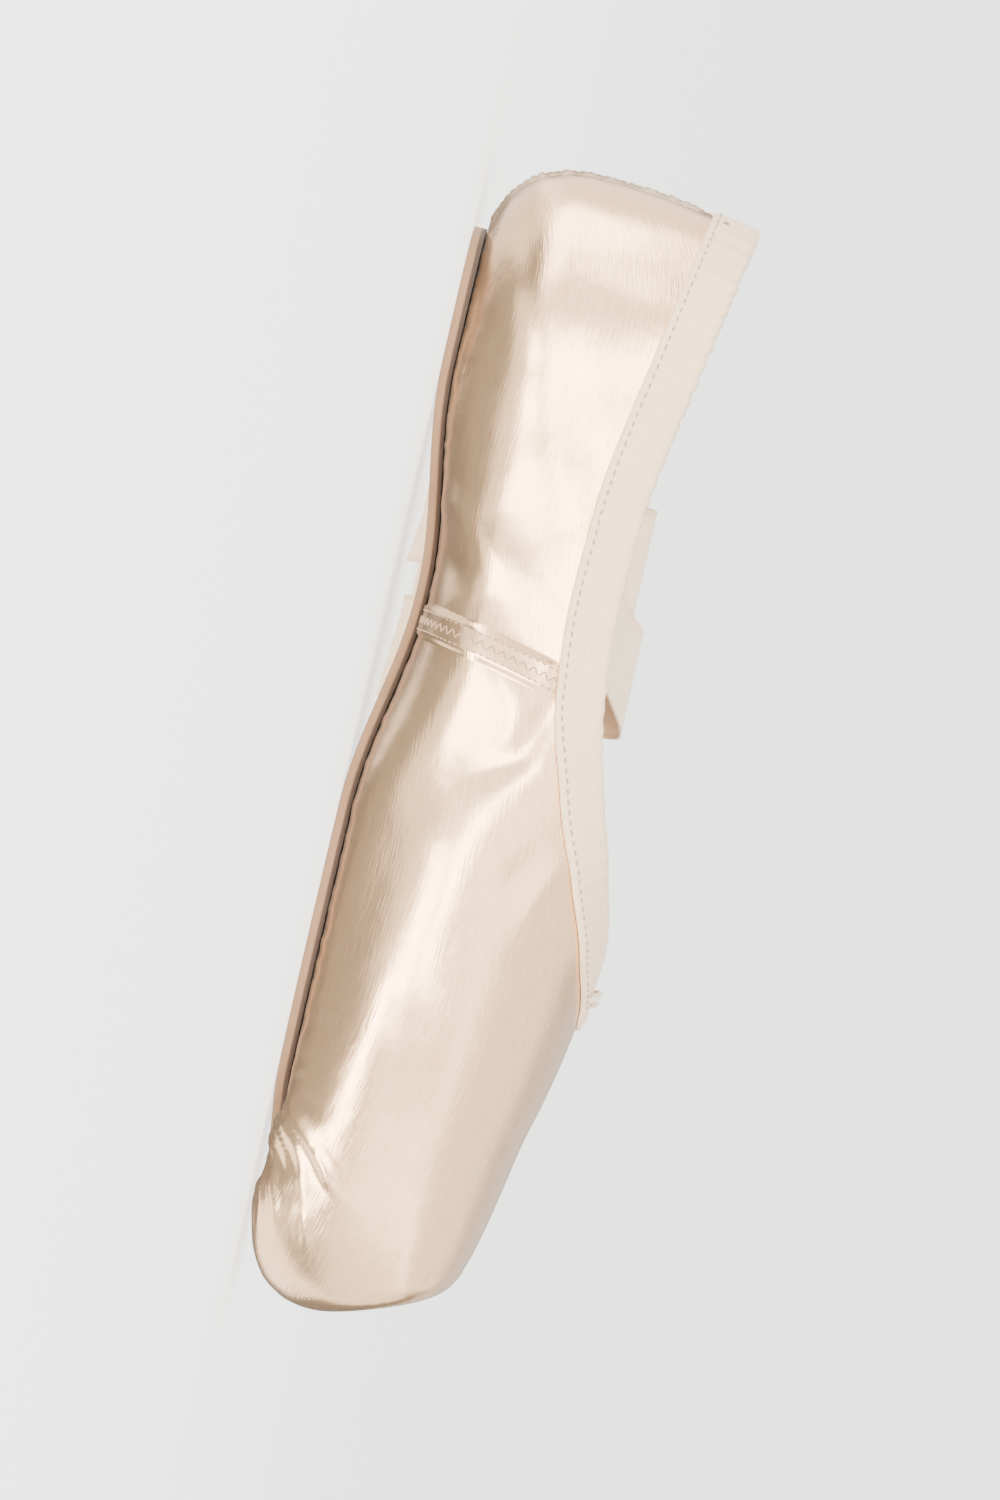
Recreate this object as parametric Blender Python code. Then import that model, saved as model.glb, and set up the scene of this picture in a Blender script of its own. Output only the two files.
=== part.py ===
"""A pointe shoe standing empty on its sole, with two satin ribbons laid out beside it.

Metres, +Z up. The toe points along +X, the shoe is symmetric about y = 0, and the origin is on
the floor at the middle of the shoe's length. "Back" is a distance from the furthest point of the toe,
and MIDDLE_BACK is half way between toe and heel, which lie 234 mm apart.
"""

import math

import bmesh
import bpy
import numpy as np
from mathutils import Vector
from mathutils.bvhtree import BVHTree

MIDDLE_BACK = 0.1176
GAP = 0.0003

# Upper: the wall of the stiffened box, of the soft quarters and of the edge turned under the foot
BOX_WALL = 0.0030
QUARTER_WALL = 0.0018
MARGIN_WALL = 0.0015
BOX_END = 0.062
QUARTER_START = 0.090
MARGIN_WIDTH = 0.011
PLATFORM_ROUNDING = 0.0030
THROAT_FOOT = 0.078
UNDER_OPENING_START = 0.047
HEEL_START = 0.192
HEEL_PLAN_POWER = 2.25
HEEL_EDGE_RISE = 0.0065
SEAM_STEP = 0.0005
SEAM_HALF_WIDTH = 0.0028
SEAM_RAMP = 0.0004
SIDE_SEAM_FOOT = 0.141
SEAM_FADE = (0.0085, 0.0125)
HEEL_SEAM_SHARES = (0.22, 0.19)
UNDER_OPENING_ROUNDING = 0.016
UNDER_OPENING_LEAST = 0.0032

# Where the upper's sections are taken: distance back from the toe, and from the throat's point, and
# degrees round the heel
TOE_STATIONS = (0.000, 0.006, 0.012, 0.018, 0.0235, 0.029, 0.035, 0.041, 0.0465)
VAMP_STATIONS = (0.0485, 0.052, 0.057, 0.063, 0.070)
THROAT_STATIONS = (0, 0.0006, 0.0016, 0.0034, 0.0065, 0.0105, 0.016, 0.023, 0.031, 0.040, 0.050)
QUARTER_STATIONS = (0.156, 0.163, 0.170, 0.177, 0.184)
BESIDE_SIDE_SEAM = (0.007, 0.008)
HEEL_ANGLES = (0, 12, 24, 36, 48, 59, 69, 78)
PLATFORM_ANGLES = (90, 55, 20)

# Pieces of each half section: the flat bottom, up to the widest line, and on to the edge
FLAT_PIECES = 3
LOWER_PIECES = 5
UPPER_PIECES = 8

# One row for each section of the upper. A section lies in a plane that meets the floor at "foot"
# and leans back by "lean" for each unit of height. Below its widest line it is a quarter of an
# ellipse down to the flat bottom, above it a superellipse of power "crown" up to the edge.
SECTION_COLUMNS = ("foot", "lean", "half", "widest", "edge", "flat", "crown")
SECTIONS = (
    (-0.0058, 0.360, 0.0250, 0.0297, 0.0435, 0.0090, 2.30),
    (0.0040, 0.330, 0.0293, 0.0280, 0.0463, 0.0130, 2.25),
    (0.0120, 0.290, 0.0322, 0.0268, 0.0478, 0.0165, 2.20),
    (0.0210, 0.240, 0.0350, 0.0256, 0.0491, 0.0195, 2.15),
    (0.0310, 0.190, 0.0374, 0.0246, 0.0505, 0.0222, 2.10),
    (0.0440, 0.120, 0.0402, 0.0236, 0.0529, 0.0250, 2.05),
    (0.0580, 0.060, 0.0423, 0.0228, 0.0551, 0.0272, 2.00),
    (0.0700, 0.020, 0.0430, 0.0221, 0.0564, 0.0278, 2.00),
    (0.0850, -0.050, 0.0428, 0.0216, 0.0571, 0.0268, 2.00),
    (0.1050, -0.120, 0.0414, 0.0212, 0.0538, 0.0228, 2.00),
    (0.1220, -0.180, 0.0393, 0.0208, 0.0495, 0.0172, 2.00),
    (0.1410, -0.220, 0.0366, 0.0204, 0.0455, 0.0130, 2.00),
    (0.1570, -0.190, 0.0343, 0.0202, 0.0442, 0.0114, 2.00),
    (0.1720, -0.120, 0.0323, 0.0201, 0.0447, 0.0120, 2.00),
    (0.1840, -0.050, 0.0307, 0.0200, 0.0466, 0.0140, 2.00),
    (0.1920, 0.000, 0.0300, 0.0200, 0.0484, 0.0155, 2.00),
)

# Half width of the throat and collar at the upper's edge, by distance behind the throat's point
THROAT_COLUMNS = ("behind", "half")
THROAT = (
    (0.0000, 0.0000),
    (0.0015, 0.0028),
    (0.0040, 0.0061),
    (0.0080, 0.0106),
    (0.0130, 0.0154),
    (0.0200, 0.0208),
    (0.0300, 0.0263),
    (0.0440, 0.0310),
    (0.0630, 0.0333),
    (0.0790, 0.0322),
    (0.0940, 0.0300),
    (0.1140, 0.0284),
)

# Height of the satin under the toe, in front of the sole
UNDER_TOE_COLUMNS = ("foot", "height")
UNDER_TOE = (
    (-0.0058, 0.0160),
    (-0.0010, 0.0098),
    (0.0040, 0.0056),
    (0.0120, 0.0024),
    (0.0210, 0.0013),
    (0.0310, 0.0014),
    (0.0420, 0.0026),
)

# Back line of the heel: how far back each height of the upper reaches
HEEL_LINE_COLUMNS = ("height", "back")
HEEL_LINE = (
    (0.0028, 0.2205),
    (0.0060, 0.2272),
    (0.0120, 0.2322),
    (0.0200, 0.2340),
    (0.0320, 0.2332),
    (0.0440, 0.2308),
    (0.0550, 0.2280),
)

# Outsole: pear-shaped leather
SOLE_THICKNESS = 0.0025
SOLE_TIP = 0.031
TIP_ROUNDING = 0.007
TOE_SPRING = 0.0010
FOREFOOT_FLAT = (0.046, 0.100)
HEEL_FLAT_START = 0.190
ARCH_RISE = 0.0052
SOLE_COLUMNS = ("back", "half")
SOLE_OUTLINE = (
    (0.0310, 0.0000),
    (0.0322, 0.0068),
    (0.0350, 0.0120),
    (0.0400, 0.0180),
    (0.0480, 0.0243),
    (0.0600, 0.0288),
    (0.0740, 0.0298),
    (0.0880, 0.0284),
    (0.1060, 0.0238),
    (0.1240, 0.0180),
    (0.1420, 0.0142),
    (0.1580, 0.0128),
    (0.1720, 0.0134),
    (0.1860, 0.0156),
    (0.1980, 0.0176),
    (0.2070, 0.0176),
    (0.2130, 0.0152),
    (0.2170, 0.0110),
    (0.2184, 0.0062),
    (0.2190, 0.0000),
)

# Between the rows of the outline, so that the sole's bends stay smooth
SOLE_STATIONS = (
    (0.0312, 0.0334, 0.0372, 0.0440, 0.0540, 0.0670, 0.0810, 0.0970, 0.1150)
    + (0.1330, 0.1500, 0.1650, 0.1790, 0.1920, 0.2025, 0.2100, 0.2152, 0.21885)
)
SOLE_BEVEL = 0.0006

# Insole: a thin sock over the turned-under edge
INSOLE_THICKNESS = 0.0018
INSOLE_BEVEL = 0.0003
INSOLE_ROUNDING = 0.016
INSOLE_ABOVE_EDGE = 0.0001
INSOLE_FRONT_STEPS = (0, 0.0003, 0.0012, 0.003, 0.006, 0.010, 0.016)
INSOLE_MIDDLE_COUNT = 16
INSOLE_BACK_STEPS = (0.020, 0.014, 0.009, 0.005, 0.002, 0.0007, 0.0001, 0)
INSOLE_FRONT = 0.040
INSOLE_BACK = 0.2185
INSOLE_BEYOND_FLAT = 0.0006

# Binding: casing tape folded over the edge
BINDING_THICKNESS = 0.0008
BINDING_OUTSIDE = 0.0090
BINDING_INSIDE = 0.0070
BINDING_GAP = 0.00035
BINDING_CORNER = 0.75
THROAT_MITRE = (1.22, 1.16, 1.08, 1.03)

# Knot of the drawstring, on the binding at the throat's point
KNOT_HALF_SIZE = (0.0020, 0.0030, 0.0014)
KNOT_FROM_EDGE = (0.0035, 0, 0.0026)

# Ribbons: satin 22 mm wide. Each route is a short list of points up the inner wall, over the edge
# and down to the floor, and then runs and turns along the floor, where a tight turn stands on edge.
RIBBON_WIDTH = 0.022
RIBBON_THICKNESS = 0.0008
RIBBON_LENGTH = 0.450
FLOOR_CLEARANCE = 0.0006
WAVE_HEIGHT = 0.0016
WAVE_LENGTH = 0.055
WAVE_START = 0.030
SOFTENING = 15
RUN_STEP = 0.001
RUN_STEPS_APART = 4
FLOOR_START_AHEAD = 0.004
RIBBON_SECTIONS = 96
LEAST_LEVEL = 0.35
LEFT_RISE = (
    (-0.0440, 0.0284, 0.0270),
    (-0.0440, 0.0278, 0.0350),
    (-0.0440, 0.0262, 0.0420),
    (-0.0440, 0.0262, 0.0455),
    (-0.0441, 0.0275, 0.0480),
    (-0.0443, 0.0300, 0.0490),
    (-0.0445, 0.0325, 0.0481),
    (-0.0447, 0.0341, 0.0455),
    (-0.0448, 0.0350, 0.0400),
    (-0.0448, 0.0356, 0.0300),
    (-0.0449, 0.0360, 0.0200),
    (-0.0450, 0.0370, 0.0110),
    (-0.0451, 0.0402, 0.0042),
)
RIGHT_RISE = (
    (-0.0440, -0.0284, 0.0270),
    (-0.0440, -0.0279, 0.0330),
    (-0.0440, -0.0268, 0.0375),
    (-0.0438, -0.0244, 0.0404),
    (-0.0428, -0.0200, 0.0417),
    (-0.0395, -0.0110, 0.0416),
    (-0.0342, 0.0000, 0.0424),
    (-0.0282, 0.0110, 0.0450),
    (-0.0236, 0.0190, 0.0486),
    (-0.0206, 0.0255, 0.0512),
    (-0.0188, 0.0330, 0.0519),
    (-0.0182, 0.0376, 0.0506),
    (-0.0178, 0.0398, 0.0468),
    (-0.0175, 0.0408, 0.0400),
    (-0.0172, 0.0414, 0.0300),
    (-0.0170, 0.0418, 0.0200),
    (-0.0168, 0.0427, 0.0110),
    (-0.0164, 0.0459, 0.0042),
)
WALL_SLANT = 0.09
RUN_COLUMNS = ("length", "turn", "bank")
LEFT_RUNS = (
    (0.012, 0, 0),
    (0.050, 78, 66),
    (0.018, 0, 12),
    (0.075, -165, 78),
    (0.040, 10, 10),
    (0.070, 158, 78),
    (0.052, -10, 4),
    (0.064, -104, 76),
    (0.060, 6, 6),
)
RIGHT_RUNS = (
    (0.014, 0, 0),
    (0.060, -74, 60),
    (0.056, -8, 10),
    (0.082, 164, 78),
    (0.130, 16, 4),
)


SATIN = (0.83, 0.70, 0.60)
LEATHER = (0.52, 0.36, 0.24)
LINING = (0.80, 0.72, 0.62)
TAPE = (0.86, 0.77, 0.68)
CORD = (0.72, 0.58, 0.44)
RIBBON = (0.87, 0.76, 0.66)


def column(table, columns, name):
    """One named column of a table."""
    return np.array([row[columns.index(name)] for row in table])


def smooth(at, xs, ys):
    """Monotone cubic through the points (xs, ys), flat outside them."""
    at = np.clip(np.asarray(at, float), xs[0], xs[-1])
    steps = np.diff(xs)
    slopes = np.diff(ys) / steps
    tangents = np.zeros(len(xs))
    tangents[0], tangents[-1] = slopes[0], slopes[-1]
    for i in range(1, len(xs) - 1):
        if slopes[i - 1] * slopes[i] > 0:
            before = 2 * steps[i] + steps[i - 1]
            after = steps[i] + 2 * steps[i - 1]
            tangents[i] = (before + after) / (before / slopes[i - 1] + after / slopes[i])
    i = np.clip(np.searchsorted(xs, at, side="right") - 1, 0, len(xs) - 2)
    t = (at - xs[i]) / steps[i]
    return (
        ys[i] * (1 + 2 * t) * (1 - t) ** 2
        + ys[i + 1] * t**2 * (3 - 2 * t)
        + steps[i] * (tangents[i] * t * (1 - t) ** 2 - tangents[i + 1] * t**2 * (1 - t))
    )


def smoothstep(low, high, at):
    t = np.clip((np.asarray(at, float) - low) / (high - low), 0, 1)
    return t * t * (3 - 2 * t)


def x_at(back):
    return MIDDLE_BACK - back


def section_value(name, foot):
    feet = column(SECTIONS, SECTION_COLUMNS, "foot")
    return float(smooth(foot, feet, column(SECTIONS, SECTION_COLUMNS, name)))


def throat_half(behind):
    """The curve is smooth in the square root of the distance, which rounds the throat's point."""
    roots = np.sqrt(column(THROAT, THROAT_COLUMNS, "behind"))
    halves = column(THROAT, THROAT_COLUMNS, "half")
    return float(smooth(math.sqrt(max(behind, 0)), roots, halves))


def sole_half(back):
    backs = column(SOLE_OUTLINE, SOLE_COLUMNS, "back")
    return float(smooth(back, backs, column(SOLE_OUTLINE, SOLE_COLUMNS, "half")))


def sole_height(back):
    """Underside of the sole: flat at forefoot and heel, arched between, sprung at the tip."""
    spring = TOE_SPRING * (1 - smoothstep(SOLE_TIP, FOREFOOT_FLAT[0], back))
    middle = (back - FOREFOOT_FLAT[1]) / (HEEL_FLAT_START - FOREFOOT_FLAT[1])
    arch = math.sin(math.pi * min(max(middle, 0), 1)) ** 2
    return float(spring + ARCH_RISE * arch)


def under_height(foot, across):
    """Underside of the upper: it leaves room for the sole, and stands proud in front of its tip."""
    back = foot
    for _ in range(3):
        over_sole = sole_height(back) + SOLE_THICKNESS + GAP
        back = foot + section_value("lean", foot) * over_sole
    feet = column(UNDER_TOE, UNDER_TOE_COLUMNS, "foot")
    proud = float(smooth(foot, feet, column(UNDER_TOE, UNDER_TOE_COLUMNS, "height")))
    proud += (over_sole - proud) * float(smoothstep(feet[-1] - 0.006, feet[-1], foot))
    beside = max(across - sole_half(max(back, SOLE_TIP + TIP_ROUNDING)), 0)
    outside = math.hypot(max(SOLE_TIP - back, 0), beside)
    covered = 1 - float(smoothstep(0.003, 0.008, outside))
    return proud + max(over_sole - proud, 0) * covered


def evenly(points, count):
    """The polyline resampled to count equal pieces."""
    points = np.asarray(points, float)
    lengths = np.linalg.norm(np.diff(points, axis=0), axis=1)
    along = np.concatenate([[0], np.cumsum(lengths)])
    wanted = np.linspace(0, along[-1], count + 1)
    return np.stack([np.interp(wanted, along, points[:, k]) for k in range(points.shape[1])], axis=1)


def under_opening_half(foot):
    """Half width of the opening underneath, between the turned-under edges."""
    if foot <= UNDER_OPENING_START:
        return 0.0
    start = min((foot - UNDER_OPENING_START) / UNDER_OPENING_ROUNDING, 1)
    rounding = math.sqrt(1 - (1 - start) ** 2)
    return max(section_value("flat", foot) - MARGIN_WIDTH, UNDER_OPENING_LEAST) * rounding


def section(foot, shrink=0.0):
    """Half a section as points (height, distance out from the middle), from the bottom to the edge."""
    half = section_value("half", foot) - shrink
    widest = section_value("widest", foot)
    edge = section_value("edge", foot) - shrink
    flat = section_value("flat", foot) - 0.5 * shrink
    crown = section_value("crown", foot)
    opening = throat_half(foot - THROAT_FOOT)
    inner = under_opening_half(foot)
    across = np.linspace(inner, flat, FLAT_PIECES + 1)
    bottom = [(under_height(foot, y) + shrink, y) for y in across]
    feather = bottom[-1][0]
    quarter = np.linspace(0, math.pi / 2, 33)
    lower = np.column_stack(
        [widest - (widest - feather) * np.cos(quarter), flat + (half - flat) * np.sin(quarter)]
    )
    share = (opening / half) ** crown
    height = (edge - widest) / (1 - share) ** (1 / crown)
    quarter = np.linspace(0, math.acos(min(math.sqrt(share), 1)), 49)
    sine, cosine = np.sin(quarter), np.clip(np.cos(quarter), 0, 1)
    upper = np.column_stack([widest + height * sine ** (2 / crown), half * cosine ** (2 / crown)])
    lower = evenly(lower, LOWER_PIECES)
    upper = evenly(upper, UPPER_PIECES)
    rows = np.concatenate([np.array(bottom), lower[1:], upper[1:]])
    rows[-1, 1] = opening
    rows[0, 1] = inner
    return rows


def placed(rows, foot, forward=0.0):
    """The section's points in space, on the left side of the shoe."""
    lean = section_value("lean", foot)
    heights, across = rows[:, 0], rows[:, 1]
    return np.stack([x_at(foot) - lean * heights + forward, across, heights], axis=1)


def heel_station(rows, share, widest_out=1.0):
    """The heel start's points carried round the heel, to a share of their width or a largest width."""
    heights, halves = rows[:, 0], rows[:, 1]
    backs = smooth(
        heights,
        column(HEEL_LINE, HEEL_LINE_COLUMNS, "height"),
        column(HEEL_LINE, HEEL_LINE_COLUMNS, "back"),
    )
    backs[: FLAT_PIECES + 1] -= MARGIN_WIDTH * np.linspace(1, 0, FLAT_PIECES + 1)
    reach = backs - HEEL_START
    out = np.minimum(halves * share, widest_out)
    along = np.clip(1 - (out / halves) ** HEEL_PLAN_POWER, 0, 1) ** (1 / HEEL_PLAN_POWER)
    widest, edge = section_value("widest", HEEL_START), section_value("edge", HEEL_START)
    lift = HEEL_EDGE_RISE * along * np.clip((heights - widest) / (edge - widest), 0, 1)
    return np.stack([x_at(HEEL_START) - reach * along, out, heights + lift], axis=1)


def upper_stations():
    """Half of the upper's outer face as a grid, with the place of each seam."""
    ramp, top = SEAM_HALF_WIDTH + SEAM_RAMP, SEAM_HALF_WIDTH
    side_seam = [SIDE_SEAM_FOOT + d for d in (-ramp, -top, top, ramp)]
    feet = list(TOE_STATIONS + VAMP_STATIONS)
    feet += [THROAT_FOOT + d for d in THROAT_STATIONS]
    feet += [SIDE_SEAM_FOOT - BESIDE_SIDE_SEAM[0]] + side_seam + [SIDE_SEAM_FOOT + BESIDE_SIDE_SEAM[1]]
    feet += list(QUARTER_STATIONS)
    grid = [placed(section(foot), foot) for foot in feet]
    raised = [foot in side_seam[1:3] for foot in feet]
    start = section(HEEL_START)
    for angle in np.radians(HEEL_ANGLES):
        grid.append(heel_station(start, math.cos(angle) ** (2 / HEEL_PLAN_POWER)))
        raised.append(False)
        feet.append(HEEL_START)
    seam_edges = ((HEEL_SEAM_SHARES[0], ramp, False), (HEEL_SEAM_SHARES[1], top, True), (0.0, 0.0, True))
    for share, widest_out, step in seam_edges:
        grid.append(heel_station(start, share, widest_out))
        raised.append(step)
        feet.append(HEEL_START)
    return np.array(grid), np.array(raised), np.array(feet)


def grid_normals(grid):
    """Outward normals of the left half, with mirrored neighbours where it meets the middle."""
    along = np.gradient(grid, axis=0)
    up = np.gradient(grid, axis=1)
    mirrored = grid[-2] * np.array([1, -1, 1])
    along[-1] = (mirrored - grid[-2]) / 2
    for row, neighbour in ((0, 1), (-1, -2)):
        on_middle = np.abs(grid[:, row, 1]) < 1e-9
        on_middle[-1] = False
        reflected = grid[:, neighbour] * np.array([1, -1, 1])
        sign = 1 if row == 0 else -1
        up[on_middle, row] = sign * (grid[on_middle, neighbour] - reflected[on_middle]) / 2
    normals = np.cross(along, up)
    normals /= np.maximum(np.linalg.norm(normals, axis=2, keepdims=True), 1e-12)
    widest_point = FLAT_PIECES + LOWER_PIECES
    if normals[0, widest_point, 1] < 0:
        normals = -normals
    return normals


def wall_thickness(feet, rows):
    """Thick at the toe box, thin at the quarters, thinner where the edge is turned under."""
    side = BOX_WALL + (QUARTER_WALL - BOX_WALL) * smoothstep(BOX_END, QUARTER_START, feet)
    walls = np.repeat(side[:, None], rows, axis=1)
    share = np.clip((np.arange(rows) - FLAT_PIECES) / 3, 0, 1)
    return MARGIN_WALL + (walls - MARGIN_WALL) * share[None, :]


def add_object(name, bm, colour, roughness):
    """The mesh as an object, with a material of its own, one closed body facing out."""
    bmesh.ops.remove_doubles(bm, verts=bm.verts, dist=2e-6)
    bmesh.ops.recalc_face_normals(bm, faces=bm.faces)
    mesh = bpy.data.meshes.new(name)
    bm.to_mesh(mesh)
    bm.free()
    mesh.shade_smooth()
    mesh.set_sharp_from_angle(angle=math.radians(32))
    material = bpy.data.materials.new(name)
    material.use_nodes = True
    shader = material.node_tree.nodes["Principled BSDF"]
    shader.inputs["Base Color"].default_value = (*colour, 1)
    shader.inputs["Roughness"].default_value = roughness
    mesh.materials.append(material)
    made = bpy.data.objects.new(name, mesh)
    bpy.context.scene.collection.objects.link(made)


def face(bm, corners):
    """A face, or a triangle where two of its corners are in one place."""
    kept = []
    for vert in corners:
        if all((vert.co - other.co).length > 1e-7 for other in kept):
            kept.append(vert)
    if len(kept) > 2:
        bm.faces.new(kept)


def add_skin(bm, grid):
    """Faces over a grid of points, and the vertices as a grid."""
    verts = [[bm.verts.new(point) for point in row] for row in grid]
    for a, b in zip(verts, verts[1:]):
        for k in range(len(a) - 1):
            face(bm, (a[k], a[k + 1], b[k + 1], b[k]))
    return verts


def add_strip(bm, first, second):
    for k in range(len(first) - 1):
        face(bm, (first[k], first[k + 1], second[k + 1], second[k]))


def platform_grid():
    """The rounded edge of the platform, from its flat face back to the first full section."""
    foot = column(SECTIONS, SECTION_COLUMNS, "foot")[0]
    lean = section_value("lean", foot)
    depth = PLATFORM_ROUNDING * math.hypot(1, lean)
    rings = []
    for angle in np.radians(PLATFORM_ANGLES):
        shrink = PLATFORM_ROUNDING * (1 - math.cos(angle))
        sunk = depth * (1 - math.sin(angle))
        rings.append(placed(section(foot + sunk, shrink), foot, -sunk))
    return np.array(rings)


def mirror_left_to_right(points):
    return np.asarray(points) * np.array([1, -1, 1])


def build_upper():
    grid, raised, feet = upper_stations()
    normals = grid_normals(grid)
    walls = wall_thickness(feet, grid.shape[1])
    below_edge = np.linalg.norm(grid - grid[:, -1:], axis=2)
    step = SEAM_STEP * raised[:, None] * smoothstep(*SEAM_FADE, below_edge)
    step[:, : FLAT_PIECES + 1] = 0
    outer = grid + normals * step[:, :, None]
    inner = grid - normals * walls[:, :, None]
    closed_top = np.abs(grid[:, -1, 1]) < 1e-9
    closed_bottom = np.abs(grid[:, 0, 1]) < 1e-9
    for skin in (outer, inner):
        skin[closed_top, -1, 1] = 0
        skin[closed_bottom, 0, 1] = 0
        skin[-1, :, 1] = 0
    rounding = platform_grid()
    bm = bmesh.new()
    ends = []
    for side in (np.asarray, mirror_left_to_right):
        outside = add_skin(bm, side(np.concatenate([rounding, outer])))
        inside = add_skin(bm, side(inner))
        outside_open = outside[len(rounding) :]
        for row, closed in ((-1, closed_top), (0, closed_bottom)):
            first = [line[row] for line, shut in zip(outside_open, closed)]
            second = [line[row] for line in inside]
            last_closed = int(np.flatnonzero(closed[:-1]).max())
            add_strip(bm, first[last_closed:], second[last_closed:])
        ends.append((outside[0], inside[0]))
    for left, right in zip(*ends):
        for k in range(len(left) - 1):
            face(bm, (left[k], left[k + 1], right[k + 1], right[k]))
    add_object("upper", bm, SATIN, 0.35)
    return outer, inner, normals


def build_plate(name, backs, half_at, bottom_at, thickness, colour, roughness, bevel):
    """A sole or sock: a thin plate with its outline, bent along its length."""
    across = np.array([-1, -0.6, -0.2, 0.2, 0.6, 1])
    lower, upper = [], []
    for back in backs:
        half = half_at(back)
        chamfer = min(bevel, 0.5 * half)
        low = [(x_at(back), s * (half - chamfer), bottom_at(back)) for s in across]
        high = [(x_at(back), s * half, bottom_at(back) + thickness) for s in across]
        rim_left = (x_at(back), -half, bottom_at(back) + chamfer)
        rim_right = (x_at(back), half, bottom_at(back) + chamfer)
        lower.append([rim_left, *low, rim_right])
        upper.append([rim_left, *high, rim_right])
    bm = bmesh.new()
    add_skin(bm, lower)
    add_skin(bm, upper)
    add_object(name, bm, colour, roughness)


def build_outsole():
    backs = sorted(set(column(SOLE_OUTLINE, SOLE_COLUMNS, "back")) | set(SOLE_STATIONS))
    build_plate("outsole", backs, sole_half, sole_height, SOLE_THICKNESS, LEATHER, 0.75, SOLE_BEVEL)


def insole_half(back):
    """A little beyond the flat bottom, round at both ends."""
    if back > HEEL_START:
        share = min((back - HEEL_START) / (INSOLE_BACK - HEEL_START), 1)
        flat = section_value("flat", HEEL_START)
        return (flat + INSOLE_BEYOND_FLAT) * (1 - share**HEEL_PLAN_POWER) ** (1 / HEEL_PLAN_POWER)
    rounding = math.sqrt(1 - (1 - min((back - INSOLE_FRONT) / INSOLE_ROUNDING, 1)) ** 2)
    return (section_value("flat", back) + INSOLE_BEYOND_FLAT) * rounding


def insole_bottom(back):
    return sole_height(back) + SOLE_THICKNESS + MARGIN_WALL + 2 * GAP + INSOLE_ABOVE_EDGE


def build_insole():
    front = [INSOLE_FRONT + d for d in INSOLE_FRONT_STEPS]
    back = [INSOLE_BACK - d for d in INSOLE_BACK_STEPS]
    middle = np.linspace(front[-1], HEEL_START, INSOLE_MIDDLE_COUNT + 1)[1:]
    backs = front + list(middle) + back
    build_plate("insole", backs, insole_half, insole_bottom, INSOLE_THICKNESS, LINING, 0.8, INSOLE_BEVEL)


def nearest(tree, point):
    place, normal, _, _ = tree.find_nearest(Vector(point))
    return np.array(place), np.array(normal)


def skin_tree(skin, normals):
    """A search tree over both sides of a skin, with its faces turned along the given normals."""
    points, polygons = [], []
    for side, flip in ((np.asarray, False), (mirror_left_to_right, True)):
        base = len(points)
        rows, across = skin.shape[:2]
        points += [tuple(p) for p in side(skin.reshape(-1, 3))]
        for i in range(rows - 1):
            for k in range(across - 1):
                corners = [base + i * across + k, base + i * across + k + 1]
                corners += [base + (i + 1) * across + k + 1, base + (i + 1) * across + k]
                polygons.append(corners[::-1] if flip else corners)
    middle = (skin.shape[0] // 2, skin.shape[1] // 2)
    a, b, c = skin[middle], skin[middle[0], middle[1] + 1], skin[middle[0] + 1, middle[1] + 1]
    if np.dot(np.cross(b - a, c - b), normals[middle]) < 0:
        polygons = [corners[::-1] for corners in polygons]
    return BVHTree.FromPolygons(points, polygons)


def edge_frames(outer, inner, normals):
    """Points of the throat and collar edge on the left, from the throat's point to the heel."""
    open_stations = np.flatnonzero(np.abs(outer[:, -1, 1]) > 1e-9)
    first = open_stations[0] - 1
    outside, inside = outer[first:, -1], inner[first:, -1]
    facing = normals[first:, -1]
    middle = (outside + inside) / 2
    before = np.concatenate([[mirror_left_to_right(middle[1])], middle[:-1]])
    after = np.concatenate([middle[1:], [mirror_left_to_right(middle[-2])]])
    tangent = after - before
    tangent /= np.linalg.norm(tangent, axis=1, keepdims=True)
    down = np.cross(facing, tangent)
    down /= np.linalg.norm(down, axis=1, keepdims=True)
    if down[-1, 2] > 0:
        down = -down
    return outside, inside, facing, down


def build_binding(outer, inner, normals):
    outside, inside, facing, down = edge_frames(outer, inner, normals)
    outer_tree = skin_tree(outer, normals)
    inner_tree = skin_tree(inner, normals)
    lengths_out = BINDING_OUTSIDE * np.array([1, 0.66, 0.33])
    lengths_in = BINDING_INSIDE * np.array([0.5, 1])
    mitre = np.ones(len(outside))
    mitre[: len(THROAT_MITRE)] = THROAT_MITRE

    def chain(i, offset):
        points = []
        for length in lengths_out:
            place, normal = nearest(outer_tree, outside[i] + down[i] * length * mitre[i])
            points.append(place + normal * offset)
        points.append(outside[i] + facing[i] * offset)
        points.append(outside[i] + (facing[i] - down[i]) * offset * BINDING_CORNER)
        points.append(inside[i] + (-facing[i] - down[i]) * offset * BINDING_CORNER)
        points.append(inside[i] - facing[i] * offset)
        for length in lengths_in:
            place, normal = nearest(inner_tree, inside[i] + down[i] * length)
            points.append(place - normal * offset)
        if i in (0, len(outside) - 1):
            for point in points:
                point[1] = 0
        return points

    near = [chain(i, BINDING_GAP) for i in range(len(outside))]
    far = [chain(i, BINDING_GAP + BINDING_THICKNESS) for i in range(len(outside))]
    bm = bmesh.new()
    for side in (np.asarray, mirror_left_to_right):
        close = add_skin(bm, [side(row) for row in near])
        away = add_skin(bm, [side(row) for row in far])
        for end in (0, -1):
            add_strip(bm, [row[end] for row in close], [row[end] for row in away])
    add_object("binding", bm, TAPE, 0.55)


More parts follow.
